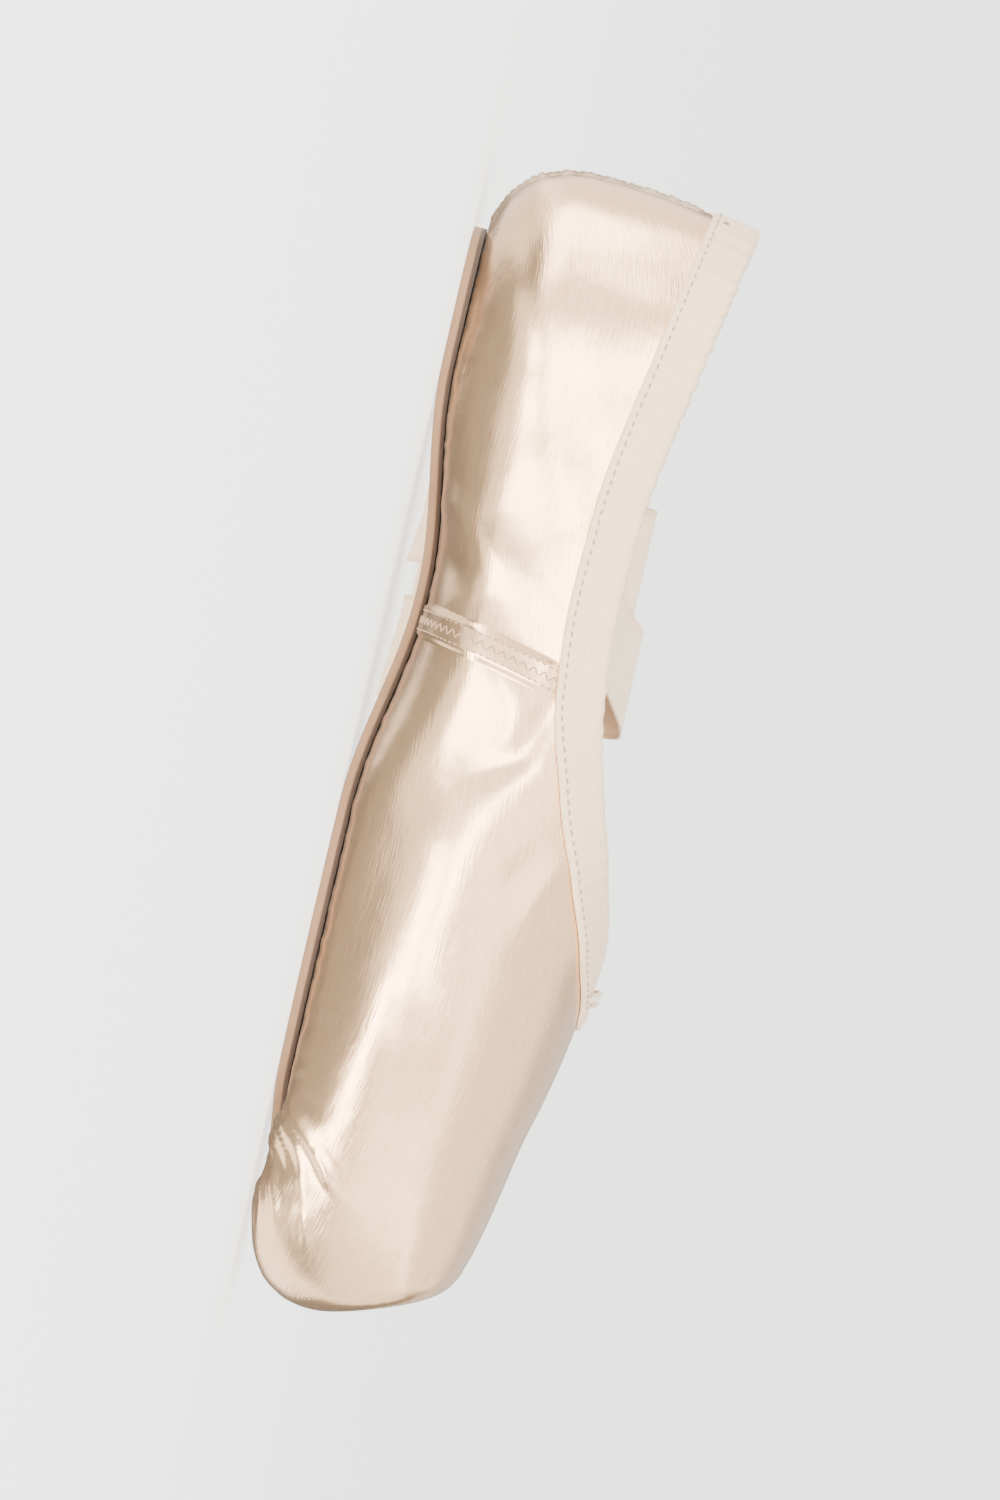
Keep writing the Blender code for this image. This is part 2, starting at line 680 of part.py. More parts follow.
def build_knot(outer):
    """The drawstring's knot, a squashed ball on the binding at the throat's point."""
    throat = np.flatnonzero(np.abs(outer[:, -1, 1]) > 1e-9)[0] - 1
    place = Vector(outer[throat, -1]) + Vector(KNOT_FROM_EDGE)
    bm = bmesh.new()
    bmesh.ops.create_uvsphere(bm, u_segments=12, v_segments=8, radius=1)
    for vert in bm.verts:
        vert.co = vert.co * Vector(KNOT_HALF_SIZE) + place
    add_object("drawstring_knot", bm, CORD, 0.8)


def curve_through(points, count):
    """A smooth curve through the points, as count equal pieces."""
    points = np.asarray(points, float)
    along = np.concatenate([[0], np.cumsum(np.linalg.norm(np.diff(points, axis=0), axis=1))])
    fine = np.linspace(0, along[-1], 40 * len(points))
    padded = np.concatenate([[2 * points[0] - points[1]], points, [2 * points[-1] - points[-2]]])
    i = np.clip(np.searchsorted(along, fine, side="right") - 1, 0, len(points) - 2)
    t = ((fine - along[i]) / (along[i + 1] - along[i]))[:, None]
    a, b, c, d = padded[i], padded[i + 1], padded[i + 2], padded[i + 3]
    curve = 0.5 * (2 * b + (c - a) * t + (2 * a - 5 * b + 4 * c - d) * t**2 + (3 * b - a - 3 * c + d) * t**3)
    return evenly(curve, count)


def floor_run(start, heading, runs):
    """Points and bank angles along the floor, from runs that turn by even arcs."""
    lengths = column(runs, RUN_COLUMNS, "length")
    counts = np.round(lengths / RUN_STEP).astype(int)
    turning = np.repeat(np.radians(column(runs, RUN_COLUMNS, "turn")) / counts, counts)
    bank = np.repeat(np.radians(column(runs, RUN_COLUMNS, "bank")), counts)
    window = np.hanning(2 * SOFTENING + 1)
    window /= window.sum()
    for _ in range(2):
        turning = np.convolve(np.pad(turning, SOFTENING, mode="constant"), window, mode="valid")
        bank = np.convolve(np.pad(bank, SOFTENING, mode="edge"), window, mode="valid")
    headings = heading + np.cumsum(turning)
    steps = RUN_STEP * np.stack([np.cos(headings), np.sin(headings)], axis=1)
    return np.array(start[:2]) + np.cumsum(steps, axis=0), bank


def ribbon_route(rise, runs):
    """Points along the middle of a ribbon, evenly spaced over its length, and its bank at each."""
    start = np.array(rise[-1])
    plan, bank = floor_run(start + [0, FLOOR_START_AHEAD, 0], math.pi / 2, runs)
    gone = np.arange(len(plan)) * RUN_STEP
    lowest = RIBBON_WIDTH / 2 * np.sin(bank) + RIBBON_THICKNESS / 2 * np.cos(bank) + FLOOR_CLEARANCE
    flatness = np.cos(bank) ** 2 * smoothstep(0, WAVE_START, gone)
    height = lowest + WAVE_HEIGHT * flatness * (1 - np.cos(2 * math.pi * gone / WAVE_LENGTH)) / 2
    floor = np.column_stack([plan, height])
    path = np.concatenate([np.array(rise), floor[::RUN_STEPS_APART]])
    banks = np.concatenate([np.zeros(len(rise)), bank[::RUN_STEPS_APART]])
    along = np.concatenate([[0], np.cumsum(np.linalg.norm(np.diff(path, axis=0), axis=1))])
    smoothed = curve_through(path, 400)
    smoothed_along = np.linspace(0, along[-1], len(smoothed))
    wanted = np.linspace(0, RIBBON_LENGTH, RIBBON_SECTIONS)
    points = np.stack([np.interp(wanted, smoothed_along, smoothed[:, k]) for k in range(3)], axis=1)
    return points, np.interp(wanted, along, banks)


def build_ribbon(name, rise, runs):
    side = math.copysign(1, rise[0][1])
    points, banks = ribbon_route(rise, runs)
    tangents = np.gradient(points, axis=0)
    tangents /= np.linalg.norm(tangents, axis=1, keepdims=True)
    across = np.zeros_like(points)
    previous = np.array([-1.0, -side * WALL_SLANT, 0])
    for i, tangent in enumerate(tangents):
        level = np.array([-tangent[1], tangent[0], 0])
        if np.linalg.norm(level) < LEAST_LEVEL:
            level = previous
        level = level - tangent * np.dot(level, tangent)
        level /= np.linalg.norm(level)
        if np.dot(level, previous) < 0:
            level = -level
        previous = level
        up = np.cross(tangent, level)
        across[i] = level * math.cos(banks[i]) + up * math.sin(banks[i])
    faces = np.cross(tangents, across)
    rows = []
    for point, wide, out in zip(points, across, faces):
        half, thick = wide * RIBBON_WIDTH / 2, out * RIBBON_THICKNESS / 2
        rows.append([point - half - thick, point + half - thick, point + half + thick, point - half + thick])
    bm = bmesh.new()
    verts = [[bm.verts.new(p) for p in row] for row in rows]
    for a, b in zip(verts, verts[1:]):
        for k in range(4):
            bm.faces.new((a[k], a[(k + 1) % 4], b[(k + 1) % 4], b[k]))
    bm.faces.new(verts[0])
    bm.faces.new(verts[-1])
    add_object(name, bm, RIBBON, 0.4)


def clear_scene():
    for existing in list(bpy.data.objects):
        bpy.data.objects.remove(existing, do_unlink=True)


clear_scene()
upper_outer, upper_inner, upper_normals = build_upper()
build_outsole()
build_insole()
build_binding(upper_outer, upper_inner, upper_normals)
build_knot(upper_outer)
build_ribbon("ribbon_left", LEFT_RISE, LEFT_RUNS)
build_ribbon("ribbon_right", RIGHT_RISE, RIGHT_RUNS)
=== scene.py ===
import math

import bmesh
import bpy
import numpy as np
from mathutils import Matrix, Vector
from mathutils.bvhtree import BVHTree


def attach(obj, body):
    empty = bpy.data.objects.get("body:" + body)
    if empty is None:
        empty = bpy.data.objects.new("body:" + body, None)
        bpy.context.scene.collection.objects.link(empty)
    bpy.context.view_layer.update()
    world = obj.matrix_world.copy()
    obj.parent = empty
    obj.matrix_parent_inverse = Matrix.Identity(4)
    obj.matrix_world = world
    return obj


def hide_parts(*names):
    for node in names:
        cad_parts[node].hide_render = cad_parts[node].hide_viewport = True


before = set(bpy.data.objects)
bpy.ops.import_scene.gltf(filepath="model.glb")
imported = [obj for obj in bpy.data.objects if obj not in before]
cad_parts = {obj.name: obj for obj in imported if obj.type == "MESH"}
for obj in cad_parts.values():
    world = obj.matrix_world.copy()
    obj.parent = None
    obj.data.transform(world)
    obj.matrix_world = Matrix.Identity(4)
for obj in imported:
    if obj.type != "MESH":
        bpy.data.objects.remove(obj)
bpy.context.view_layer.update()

# The studio: a pale floor that curves up into a pale backdrop, and large soft lights. Reflections and
# shadows pass through the floor, so some lights stand below it. The camera is level, just above the
# floor, square to the side of the shoe, and rolled so that the toe points down.

floor_base, floor_glow_colour, floor_glow = (0.50, 0.50, 0.49), (0.80, 0.80, 0.775), 2.22
floor_bend_start, floor_bend_radius = 2.2, 1.6
floor_half_width, floor_reach = 7.0, 6.0
floor_bend_angles = np.radians(np.arange(6, 91, 6))
warm, soft, white = (1.0, 0.985, 0.965), (1.0, 0.99, 0.98), (1.0, 1.0, 1.0)
soft_lights = (
    ("toe_strip", (0.78, -1.35, -1.05), (1.5, 0.36), 52.0, warm),
    ("box_strip", (0.04, -1.95, -0.37), (1.06, 1.16), 58.0, warm),
    ("waist_key", (-0.22, -1.89, 0.68), (1.1, 0.6), 36.0, soft),
    ("heel_key", (-1.63, -0.76, -0.09), (1.6, 0.8), 40.0, soft),
    ("low_panel", (-0.36, -1.36, -1.26), (1.1, 1.4), 9.5, warm),
    ("front_panel", (0.0, -2.2, 0.85), (5.4, 3.8), 196.0, soft),
    ("toe_panel", (2.2, -0.9, 0.55), (3.4, 2.8), 78.0, soft),
    ("toe_fill", (1.25, 0.50, -1.10), (1.7, 1.5), 30.0, warm),
    ("heel_panel", (-2.1, 0.5, 0.3), (4.0, 2.4), 84.0, soft),
    ("heel_fill", (-1.2, 0.55, -1.1), (2.6, 1.6), 27.0, warm),
    ("under_panel", (0.0, -0.45, -1.6), (3.4, 2.1), 6.0, warm),
    ("top_panel", (0.1, -0.3, 2.4), (5.0, 3.8), 156.0, white),
    ("back_panel", (0.0, 2.1, 1.3), (4.4, 1.8), 30.0, white),
)
lights_aim = Vector((0.0, 0.0, 0.03))
world_colour, world_strength = (0.92, 0.93, 0.95), 0.07
camera_distance, camera_height, camera_lens = 1.13, 0.0285, 135
camera_roll = math.radians(13)


def fill(tree, node, inputs):
    """Set a node's inputs to plain values, or link them to what other nodes put out."""
    for name, value in inputs.items():
        socket = node.inputs[name]
        if isinstance(value, bpy.types.NodeSocket):
            tree.links.new(value, socket)
        else:
            socket.default_value = (*value, 1) if socket.type == "RGBA" else value


def add_node(tree, kind, inputs=None, **settings):
    """A node with its settings and inputs; gives back what it puts out."""
    made = tree.nodes.new(kind)
    for name, value in settings.items():
        setattr(made, name, value)
    fill(tree, made, inputs or {})
    return made.outputs


def node_material(name):
    made = bpy.data.materials.new(name)
    made.use_nodes = True
    return made, made.node_tree


def set_surface(tree, inputs):
    fill(tree, tree.nodes["Principled BSDF"], inputs)


def add_object(name, data):
    made = bpy.data.objects.new(name, data)
    bpy.context.scene.collection.objects.link(made)
    return made


floor_material, floor_tree = node_material("studio_floor")
set_surface(floor_tree, {"Base Color": floor_base, "Roughness": 0.95, "Specular IOR Level": 0.1})
set_surface(floor_tree, {"Emission Color": floor_glow_colour, "Emission Strength": floor_glow})
profile = [(-floor_reach, 0.0), (floor_bend_start, 0.0)]
for angle in floor_bend_angles:
    ahead, up = math.sin(angle), 1 - math.cos(angle)
    profile.append((floor_bend_start + floor_bend_radius * ahead, floor_bend_radius * up))
profile.append((profile[-1][0], floor_reach))
floor_points = [(side * floor_half_width, y, z) for y, z in profile for side in (-1, 1)]
floor_faces = [(2 * i, 2 * i + 1, 2 * i + 3, 2 * i + 2) for i in range(len(profile) - 1)]
floor_mesh = bpy.data.meshes.new("studio_floor")
floor_mesh.from_pydata(floor_points, [], floor_faces)
floor_mesh.shade_smooth()
floor_mesh.materials.append(floor_material)
studio_floor = add_object("studio_floor", floor_mesh)
studio_floor.visible_glossy = False
studio_floor.visible_shadow = False

for light_name, light_place, light_size, light_power, light_colour in soft_lights:
    lamp = bpy.data.lights.new(light_name, "AREA")
    lamp.shape = "RECTANGLE"
    lamp.size, lamp.size_y = light_size
    lamp.energy = light_power
    lamp.color = light_colour
    holder = add_object(light_name, lamp)
    holder.location = light_place
    aim = lights_aim - Vector(light_place)
    holder.rotation_euler = aim.to_track_quat("-Z", "Y").to_euler()

world = bpy.data.worlds.new("studio")
world.use_nodes = True
background = world.node_tree.nodes["Background"]
fill(world.node_tree, background, {"Color": world_colour, "Strength": world_strength})
bpy.context.scene.world = world

camera_data = bpy.data.cameras.new("camera")
camera_data.lens = camera_lens
camera_data.clip_start, camera_data.clip_end = 0.01, 50
camera = add_object("camera", camera_data)
to_right = Vector((-math.sin(camera_roll), 0, math.cos(camera_roll)))
to_top = Vector((-math.cos(camera_roll), 0, -math.sin(camera_roll)))
turned = Matrix((to_right, to_top, Vector((0, -1, 0)))).transposed().to_4x4()
camera.matrix_world = Matrix.Translation((0.0, -camera_distance, camera_height)) @ turned
bpy.context.scene.camera = camera

# The last: the form over which the shoe is pulled. Each section lies in a plane that meets the floor at
# "foot" and leans back by "lean". Below its widest line it is a quarter of an ellipse down to the flat
# bottom, above it a superellipse up to the edge. All distances back are from the tip of the toe.

middle_back = 0.1176
section_columns = ("foot", "lean", "half", "widest", "edge", "flat", "crown")
sections = (
    (-0.0058, 0.360, 0.0250, 0.0297, 0.0435, 0.0090, 2.30),
    (0.0040, 0.330, 0.0293, 0.0280, 0.0463, 0.0130, 2.25),
    (0.0120, 0.290, 0.0322, 0.0268, 0.0478, 0.0165, 2.20),
    (0.0210, 0.240, 0.0350, 0.0256, 0.0491, 0.0195, 2.15),
    (0.0310, 0.190, 0.0374, 0.0246, 0.0505, 0.0222, 2.10),
    (0.0440, 0.120, 0.0402, 0.0236, 0.0529, 0.0250, 2.05),
    (0.0580, 0.060, 0.0423, 0.0228, 0.0551, 0.0272, 2.00),
    (0.0700, 0.020, 0.0430, 0.0221, 0.0564, 0.0278, 2.00),
    (0.0850, -0.050, 0.0428, 0.0216, 0.0571, 0.0268, 2.00),
    (0.1050, -0.120, 0.0414, 0.0212, 0.0538, 0.0228, 2.00),
    (0.1220, -0.180, 0.0393, 0.0208, 0.0495, 0.0172, 2.00),
    (0.1410, -0.220, 0.0366, 0.0204, 0.0455, 0.0130, 2.00),
    (0.1570, -0.190, 0.0343, 0.0202, 0.0442, 0.0114, 2.00),
    (0.1720, -0.120, 0.0323, 0.0201, 0.0447, 0.0120, 2.00),
    (0.1840, -0.050, 0.0307, 0.0200, 0.0466, 0.0140, 2.00),
    (0.1920, 0.000, 0.0300, 0.0200, 0.0484, 0.0155, 2.00),
)
throat_foot = 0.078
throat_behind = np.array(
    [0, 0.0015, 0.004, 0.008, 0.013, 0.020, 0.030, 0.044, 0.063, 0.079, 0.094, 0.114]
)
throat_halves = np.array(
    [0, 0.0028, 0.0061, 0.0106, 0.0154, 0.0208, 0.0263, 0.0310, 0.0333, 0.0322, 0.0300, 0.0284]
)
under_toe_feet = np.array([-0.0058, -0.0010, 0.0040, 0.0120, 0.0210, 0.0310, 0.0420])
under_toe_heights = np.array([0.0160, 0.0098, 0.0056, 0.0024, 0.0013, 0.0014, 0.0026])
heel_start = 0.192
heel_plan_power = 2.25
heel_edge_rise = 0.0065
heel_line_heights = np.array([0.0028, 0.0060, 0.0120, 0.0200, 0.0320, 0.0440, 0.0550])
heel_line_backs = np.array([0.2205, 0.2272, 0.2322, 0.2340, 0.2332, 0.2308, 0.2280])
sole_thickness = 0.0025
sole_tip = 0.031
tip_rounding = 0.007
toe_spring = 0.0010
forefoot_flat = (0.046, 0.100)
heel_flat_start = 0.190
arch_rise = 0.0052
sole_backs = np.array(
    [0.0310, 0.0322, 0.0350, 0.0400, 0.0480, 0.0600, 0.0740, 0.0880, 0.1060, 0.1240]
    + [0.1420, 0.1580, 0.1720, 0.1860, 0.1980, 0.2070, 0.2130, 0.2170, 0.2184, 0.2190]
)
sole_halves = np.array(
    [0.0000, 0.0068, 0.0120, 0.0180, 0.0243, 0.0288, 0.0298, 0.0284, 0.0238, 0.0180]
    + [0.0142, 0.0128, 0.0134, 0.0156, 0.0176, 0.0176, 0.0152, 0.0110, 0.0062, 0.0000]
)
margin_width = 0.011
under_opening_start = 0.047
under_opening_rounding = 0.016
under_opening_least = 0.0032
under_toe_blend = 0.006
beyond_sole = (0.003, 0.008)
piece_gap = 0.0003
flat_pieces, lower_pieces, upper_pieces = 16, 60, 40
lower_curve_points, upper_curve_points = 65, 129


def smooth(at, xs, ys):
    """Monotone cubic through the points (xs, ys), flat outside them."""
    at = np.clip(np.asarray(at, float), xs[0], xs[-1])
    steps = np.diff(xs)
    slopes = np.diff(ys) / steps
    tangents = np.zeros(len(xs))
    tangents[0], tangents[-1] = slopes[0], slopes[-1]
    for i in range(1, len(xs) - 1):
        if slopes[i - 1] * slopes[i] > 0:
            before = 2 * steps[i] + steps[i - 1]
            after = steps[i] + 2 * steps[i - 1]
            tangents[i] = (before + after) / (before / slopes[i - 1] + after / slopes[i])
    i = np.clip(np.searchsorted(xs, at, side="right") - 1, 0, len(xs) - 2)
    t = (at - xs[i]) / steps[i]
    return (
        ys[i] * (1 + 2 * t) * (1 - t) ** 2
        + ys[i + 1] * t**2 * (3 - 2 * t)
        + steps[i] * (tangents[i] * t * (1 - t) ** 2 - tangents[i + 1] * t**2 * (1 - t))
    )


def smoothstep(low, high, at):
    t = np.clip((np.asarray(at, float) - low) / (high - low), 0, 1)
    return t * t * (3 - 2 * t)


def x_at(back):
    return middle_back - back


section_table = np.array(sections)


def section_value(name, foot):
    return float(smooth(foot, section_table[:, 0], section_table[:, section_columns.index(name)]))


def throat_half(behind):
    """The curve is smooth in the square root of the distance, which rounds the throat's point."""
    return float(smooth(math.sqrt(max(behind, 0)), np.sqrt(throat_behind), throat_halves))


def sole_half(back):
    return float(smooth(back, sole_backs, sole_halves))


def sole_height(back):
    """Underside of the sole: flat at forefoot and heel, arched between, sprung at the tip."""
    spring = toe_spring * (1 - smoothstep(sole_tip, forefoot_flat[0], back))
    middle = (back - forefoot_flat[1]) / (heel_flat_start - forefoot_flat[1])
    arch = math.sin(math.pi * min(max(middle, 0), 1)) ** 2
    return float(spring + arch_rise * arch)


def under_height(foot, across):
    """Underside of the upper: it leaves room for the sole, and stands proud in front of its tip."""
    back = foot
    for _ in range(3):
        over_sole = sole_height(back) + sole_thickness + piece_gap
        back = foot + section_value("lean", foot) * over_sole
    proud = float(smooth(foot, under_toe_feet, under_toe_heights))
    last = under_toe_feet[-1]
    proud += (over_sole - proud) * float(smoothstep(last - under_toe_blend, last, foot))
    beside = max(across - sole_half(max(back, sole_tip + tip_rounding)), 0)
    outside = math.hypot(max(sole_tip - back, 0), beside)
    return proud + max(over_sole - proud, 0) * (1 - float(smoothstep(*beyond_sole, outside)))


def along_line(points):
    """How far along the line each of its points lies."""
    steps = np.linalg.norm(np.diff(points, axis=0), axis=1)
    return np.concatenate([[0], np.cumsum(steps)])


def resampled(wanted, along, rows):
    """The rows at the wanted places along a line."""
    return np.stack([np.interp(wanted, along, rows[:, k]) for k in range(rows.shape[1])], axis=1)


def evenly(points, count):
    """The line resampled to count equal pieces."""
    points = np.asarray(points, float)
    along = along_line(points)
    return resampled(np.linspace(0, along[-1], count + 1), along, points)


def under_opening_half(foot):
    """Half width of the opening underneath, between the turned-under edges."""
    if foot <= under_opening_start:
        return 0.0
    start = min((foot - under_opening_start) / under_opening_rounding, 1)
    rounding = math.sqrt(1 - (1 - start) ** 2)
    return max(section_value("flat", foot) - margin_width, under_opening_least) * rounding


def section(foot, shrink=0.0):
    """Half a section as points (height, distance out from the middle), from the bottom to the edge."""
    half, edge = (section_value(name, foot) - shrink for name in ("half", "edge"))
    widest, crown = (section_value(name, foot) for name in ("widest", "crown"))
    flat = section_value("flat", foot) - shrink / 2
    opening, inner = throat_half(foot - throat_foot), under_opening_half(foot)
    across = np.linspace(inner, flat, flat_pieces + 1)
    bottom = [(under_height(foot, y) + shrink, y) for y in across]
    feather = bottom[-1][0]
    turn = np.linspace(0, math.pi / 2, lower_curve_points)
    lower = [widest - (widest - feather) * np.cos(turn), flat + (half - flat) * np.sin(turn)]
    share = (opening / half) ** crown
    height = (edge - widest) / (1 - share) ** (1 / crown)
    turn = np.linspace(0, math.acos(min(math.sqrt(share), 1)), upper_curve_points)
    rise, reach = np.sin(turn) ** (2 / crown), np.clip(np.cos(turn), 0, 1) ** (2 / crown)
    upper = [widest + height * rise, half * reach]
    curves = [evenly(np.column_stack(lower), lower_pieces), evenly(np.column_stack(upper), upper_pieces)]
    rows = np.concatenate([np.array(bottom), curves[0][1:], curves[1][1:]])
    rows[-1, 1] = opening
    rows[0, 1] = inner
    return rows


def placed(rows, foot, forward=0.0):
    """The section's points in space, on the left side of the shoe."""
    lean = section_value("lean", foot)
    heights, across = rows[:, 0], rows[:, 1]
    return np.stack([x_at(foot) - lean * heights + forward, across, heights], axis=1)


def heel_station(rows, share, widest_out=1.0):
    """The heel start's points carried round the heel, to a share of their width or a largest width."""
    heights, halves = rows[:, 0], rows[:, 1]
    backs = smooth(heights, heel_line_heights, heel_line_backs)
    backs[: flat_pieces + 1] -= margin_width * np.linspace(1, 0, flat_pieces + 1)
    reach = backs - heel_start
    out = np.minimum(halves * share, widest_out)
    along = np.clip(1 - (out / halves) ** heel_plan_power, 0, 1) ** (1 / heel_plan_power)
    widest, edge = section_value("widest", heel_start), section_value("edge", heel_start)
    lift = heel_edge_rise * along * np.clip((heights - widest) / (edge - widest), 0, 1)
    return np.stack([x_at(heel_start) - reach * along, out, heights + lift], axis=1)


# The satin upper: a vamp and two quarters of peach satin, joined by a flat-felled seam at each side and
# a covered seam at the back. It is pulled over the last, gathered in small pleats in front of the sole
# and glued under it, so it is smooth over the stiff box and slack, with soft folds, over the quarters.

side_seam_foot = 0.141
seam_half_width, seam_ramp, seam_step = 0.0028, 0.0004, 0.0005
seam_stitch_line = 0.0020
heel_seam_half_width, heel_stitch_line, heel_tape_middle = 0.0075, 0.0064, 0.0022
heel_last_share = 0.24
raised_back_rows = 4
heel_turn, heel_turn_steps = 78, 33
# The puckers of the back seam: length, bend, wobble and share of each wave.
heel_puckers = ((0.0033, 2.2, 420, 1.0), (2 * math.pi / 1130, 1.3, 300, 0.8))
heel_pucker_height, heel_pucker_start = 0.00011, (0.008, 0.016)
seam_above_sole = (0.0, 0.0015)
under_binding = (0.0085, 0.0125)
satin_thickness = 0.0005
box_wall, quarter_wall, margin_wall = 0.0030, 0.0018, 0.0015
box_end, quarter_start, softened_by = 0.062, 0.090, 0.110
wall_growth = 1.7
station_step, toe_stations_start = 0.0011, -0.0022
throat_step, throat_step_growth, first_throat_steps = 0.00022, 0.0001, 4
before_heel, beside_seam = 1.4 * station_step, 0.0002
platform_rounding = 0.0030
platform_ring_angles = (90, 78, 66, 54, 42, 30, 20, 10)
middle_blend = 0.006
weld_distance, same_spot, least_length = 2e-6, 1e-7, 1e-12
inside_every, inside_rows_lost = 3, 2
middle_tolerance = 1e-9

seam_lines = [
    side_seam_foot + side * width
    for side in (-1, 1)
    for width in (seam_half_width + seam_ramp, seam_half_width, seam_stitch_line)
]
seam_lines.append(side_seam_foot)
toe_feet = list(np.arange(toe_stations_start, throat_foot - 0.5 * station_step, station_step))
throat_feet = [throat_foot + throat_step * k * k for k in range(first_throat_steps)]
while throat_feet[-1] < heel_start - before_heel:
    last_step = throat_feet[-1] - throat_feet[-2]
    throat_feet.append(throat_feet[-1] + min(last_step + throat_step_growth, station_step))
side_feet = [foot for foot in throat_feet if all(abs(foot - line) > beside_seam for line in seam_lines)]
feet = np.array(toe_feet + sorted(side_feet + seam_lines))
heel_rows = section(heel_start)
heel_angles = np.radians(np.linspace(0, heel_turn, heel_turn_steps))
heel_shares = [math.cos(angle) ** (2 / heel_plan_power) for angle in heel_angles]
heel_widths = (heel_seam_half_width, heel_stitch_line, heel_tape_middle, 0.0)
heel_widths = (heel_seam_half_width + seam_ramp, *heel_widths)
grid = [placed(section(foot), foot) for foot in feet]
grid += [heel_station(heel_rows, share) for share in heel_shares]
for k, width in enumerate(heel_widths):
    grid.append(heel_station(heel_rows, heel_last_share * (1 - k / (len(heel_widths) - 1)), width))
grid = np.array(grid)
feet = np.concatenate([feet, np.full(len(heel_shares) + len(heel_widths), heel_start)])
stations, columns = grid.shape[:2]
widest_column = flat_pieces + lower_pieces
across_middle = np.array([1, -1, 1])


def to_side(points, side):
    """The left side's points on the side named."""
    return points * np.array([1, side, 1])


def lengths(rows):
    return np.linalg.norm(rows, axis=-1, keepdims=True)


def grid_normals(points):
    """Outward normals of the left half, with mirrored neighbours where it meets the middle."""
    along = np.gradient(points, axis=0)
    up = np.gradient(points, axis=1)
    along[-1] = (points[-2] * across_middle - points[-2]) / 2
    for row, neighbour, sign in ((0, 1, 1), (-1, -2, -1)):
        on_middle = np.abs(points[:, row, 1]) < middle_tolerance
        on_middle[-1] = False
        reflected = points[:, neighbour] * across_middle
        up[on_middle, row] = sign * (points[on_middle, neighbour] - reflected[on_middle]) / 2
    normals = np.cross(along, up)
    normals /= np.maximum(lengths(normals), least_length)
    return -normals if normals[0, widest_column, 1] < 0 else normals


normals = grid_normals(grid)
backs = middle_back - grid[:, :, 0]
rises = np.linalg.norm(np.diff(grid, axis=1), axis=2)
arcs = np.concatenate([np.zeros((stations, 1)), np.cumsum(rises, axis=1)], axis=1)
girth = arcs - arcs[:, flat_pieces : flat_pieces + 1]
below_edge = arcs[:, -1:] - arcs
cloth_along = np.repeat(along_line(grid[:, widest_column])[:, None], columns, axis=1)
cloth_across = grid[:, -1:, 1] + below_edge
softness = smoothstep(box_end, softened_by, backs)

# The creases: the side each is on, 0 for both, its half width, how far it stands out, and its line as
# distances along the side and up the cloth from the sole's edge.
crease_ends, crease_from_sole = 0.3, (0.0005, 0.005)
creases = (
    (0, 0.0062, 0.0010, ((0.045, 0.022), (0.075, 0.027), (0.090, 0.031), (0.102, 0.038), (0.112, 0.046))),
    (0, 0.0068, -0.0010, ((0.045, 0.009), (0.070, 0.012), (0.092, 0.018), (0.106, 0.026), (0.113, 0.034))),
    (0, 0.0062, 0.0012, ((0.137, 0.024), (0.127, 0.034), (0.116, 0.045))),
    (0, 0.0044, 0.0009, ((0.158, 0.004), (0.155, 0.015), (0.150, 0.028), (0.144, 0.041))),
    (0, 0.0046, -0.0006, ((0.149, 0.004), (0.146, 0.015), (0.141, 0.027))),
    (-1, 0.0028, -0.0009, ((0.133, 0.0475), (0.124, 0.0450), (0.115, 0.0420), (0.108, 0.0350))),
    (1, 0.0030, -0.0007, ((0.128, 0.0470), (0.119, 0.0420), (0.111, 0.0340))),
    (-1, 0.0075, 0.0016, ((0.219, 0.015), (0.202, 0.019), (0.184, 0.025), (0.170, 0.033), (0.160, 0.040))),
    (-1, 0.0085, -0.0012, ((0.215, 0.005), (0.199, 0.006), (0.184, 0.009), (0.172, 0.014))),
    (1, 0.0065, 0.0009, ((0.216, 0.018), (0.196, 0.019), (0.178, 0.023), (0.164, 0.030))),
    (1, 0.0065, -0.0009, ((0.212, 0.007), (0.190, 0.008), (0.170, 0.010), (0.158, 0.012))),
    (1, 0.0048, -0.0005, ((0.208, 0.034), (0.192, 0.031), (0.174, 0.036))),
    (1, 0.0033, -0.0006, ((0.110, 0.018), (0.100, 0.026), (0.092, 0.037))),
    (0, 0.0036, -0.0006, ((0.099, 0.052), (0.092, 0.046), (0.086, 0.042))),
    (0, 0.0030, 0.0005, ((0.096, 0.056), (0.088, 0.050), (0.081, 0.047))),
)


def near_line(place, line):
    """How far the cloth is from a line drawn on it, on which side, and what share of the line is gone."""
    knots = np.array(line)
    pieces = np.linalg.norm(np.diff(knots, axis=0), axis=1)
    nearest = np.full(place.shape[:2], np.inf)
    hand = np.zeros(place.shape[:2])
    share = np.zeros(place.shape[:2])
    gone = 0.0
    for start, end, length in zip(knots, knots[1:], pieces):
        way = end - start
        t = np.clip(((place - start) @ way) / length**2, 0, 1)
        apart = place - start - t[:, :, None] * way
        away = np.linalg.norm(apart, axis=2)
        closer = away < nearest
        nearest = np.where(closer, away, nearest)
        hand = np.where(closer, np.sign(way[0] * apart[:, :, 1] - way[1] * apart[:, :, 0]), hand)
        share = np.where(closer, (gone + t * length) / pieces.sum(), share)
        gone += length
    return nearest, hand, share


def crease_relief(side):
    """How far the creases of one side move the cloth out: each fades to its ends and to the sole."""
    place = np.stack([cloth_along, girth], axis=2)
    relief = np.zeros((stations, columns))
    for wanted, half_width, height, line in creases:
        if wanted in (0, side):
            away, _, share = near_line(place, line)
            taper = crease_ends + (1 - crease_ends) * np.sin(math.pi * share)
            relief += height * taper * np.exp(-((away / half_width) ** 2))
    return relief * smoothstep(*crease_from_sole, girth)


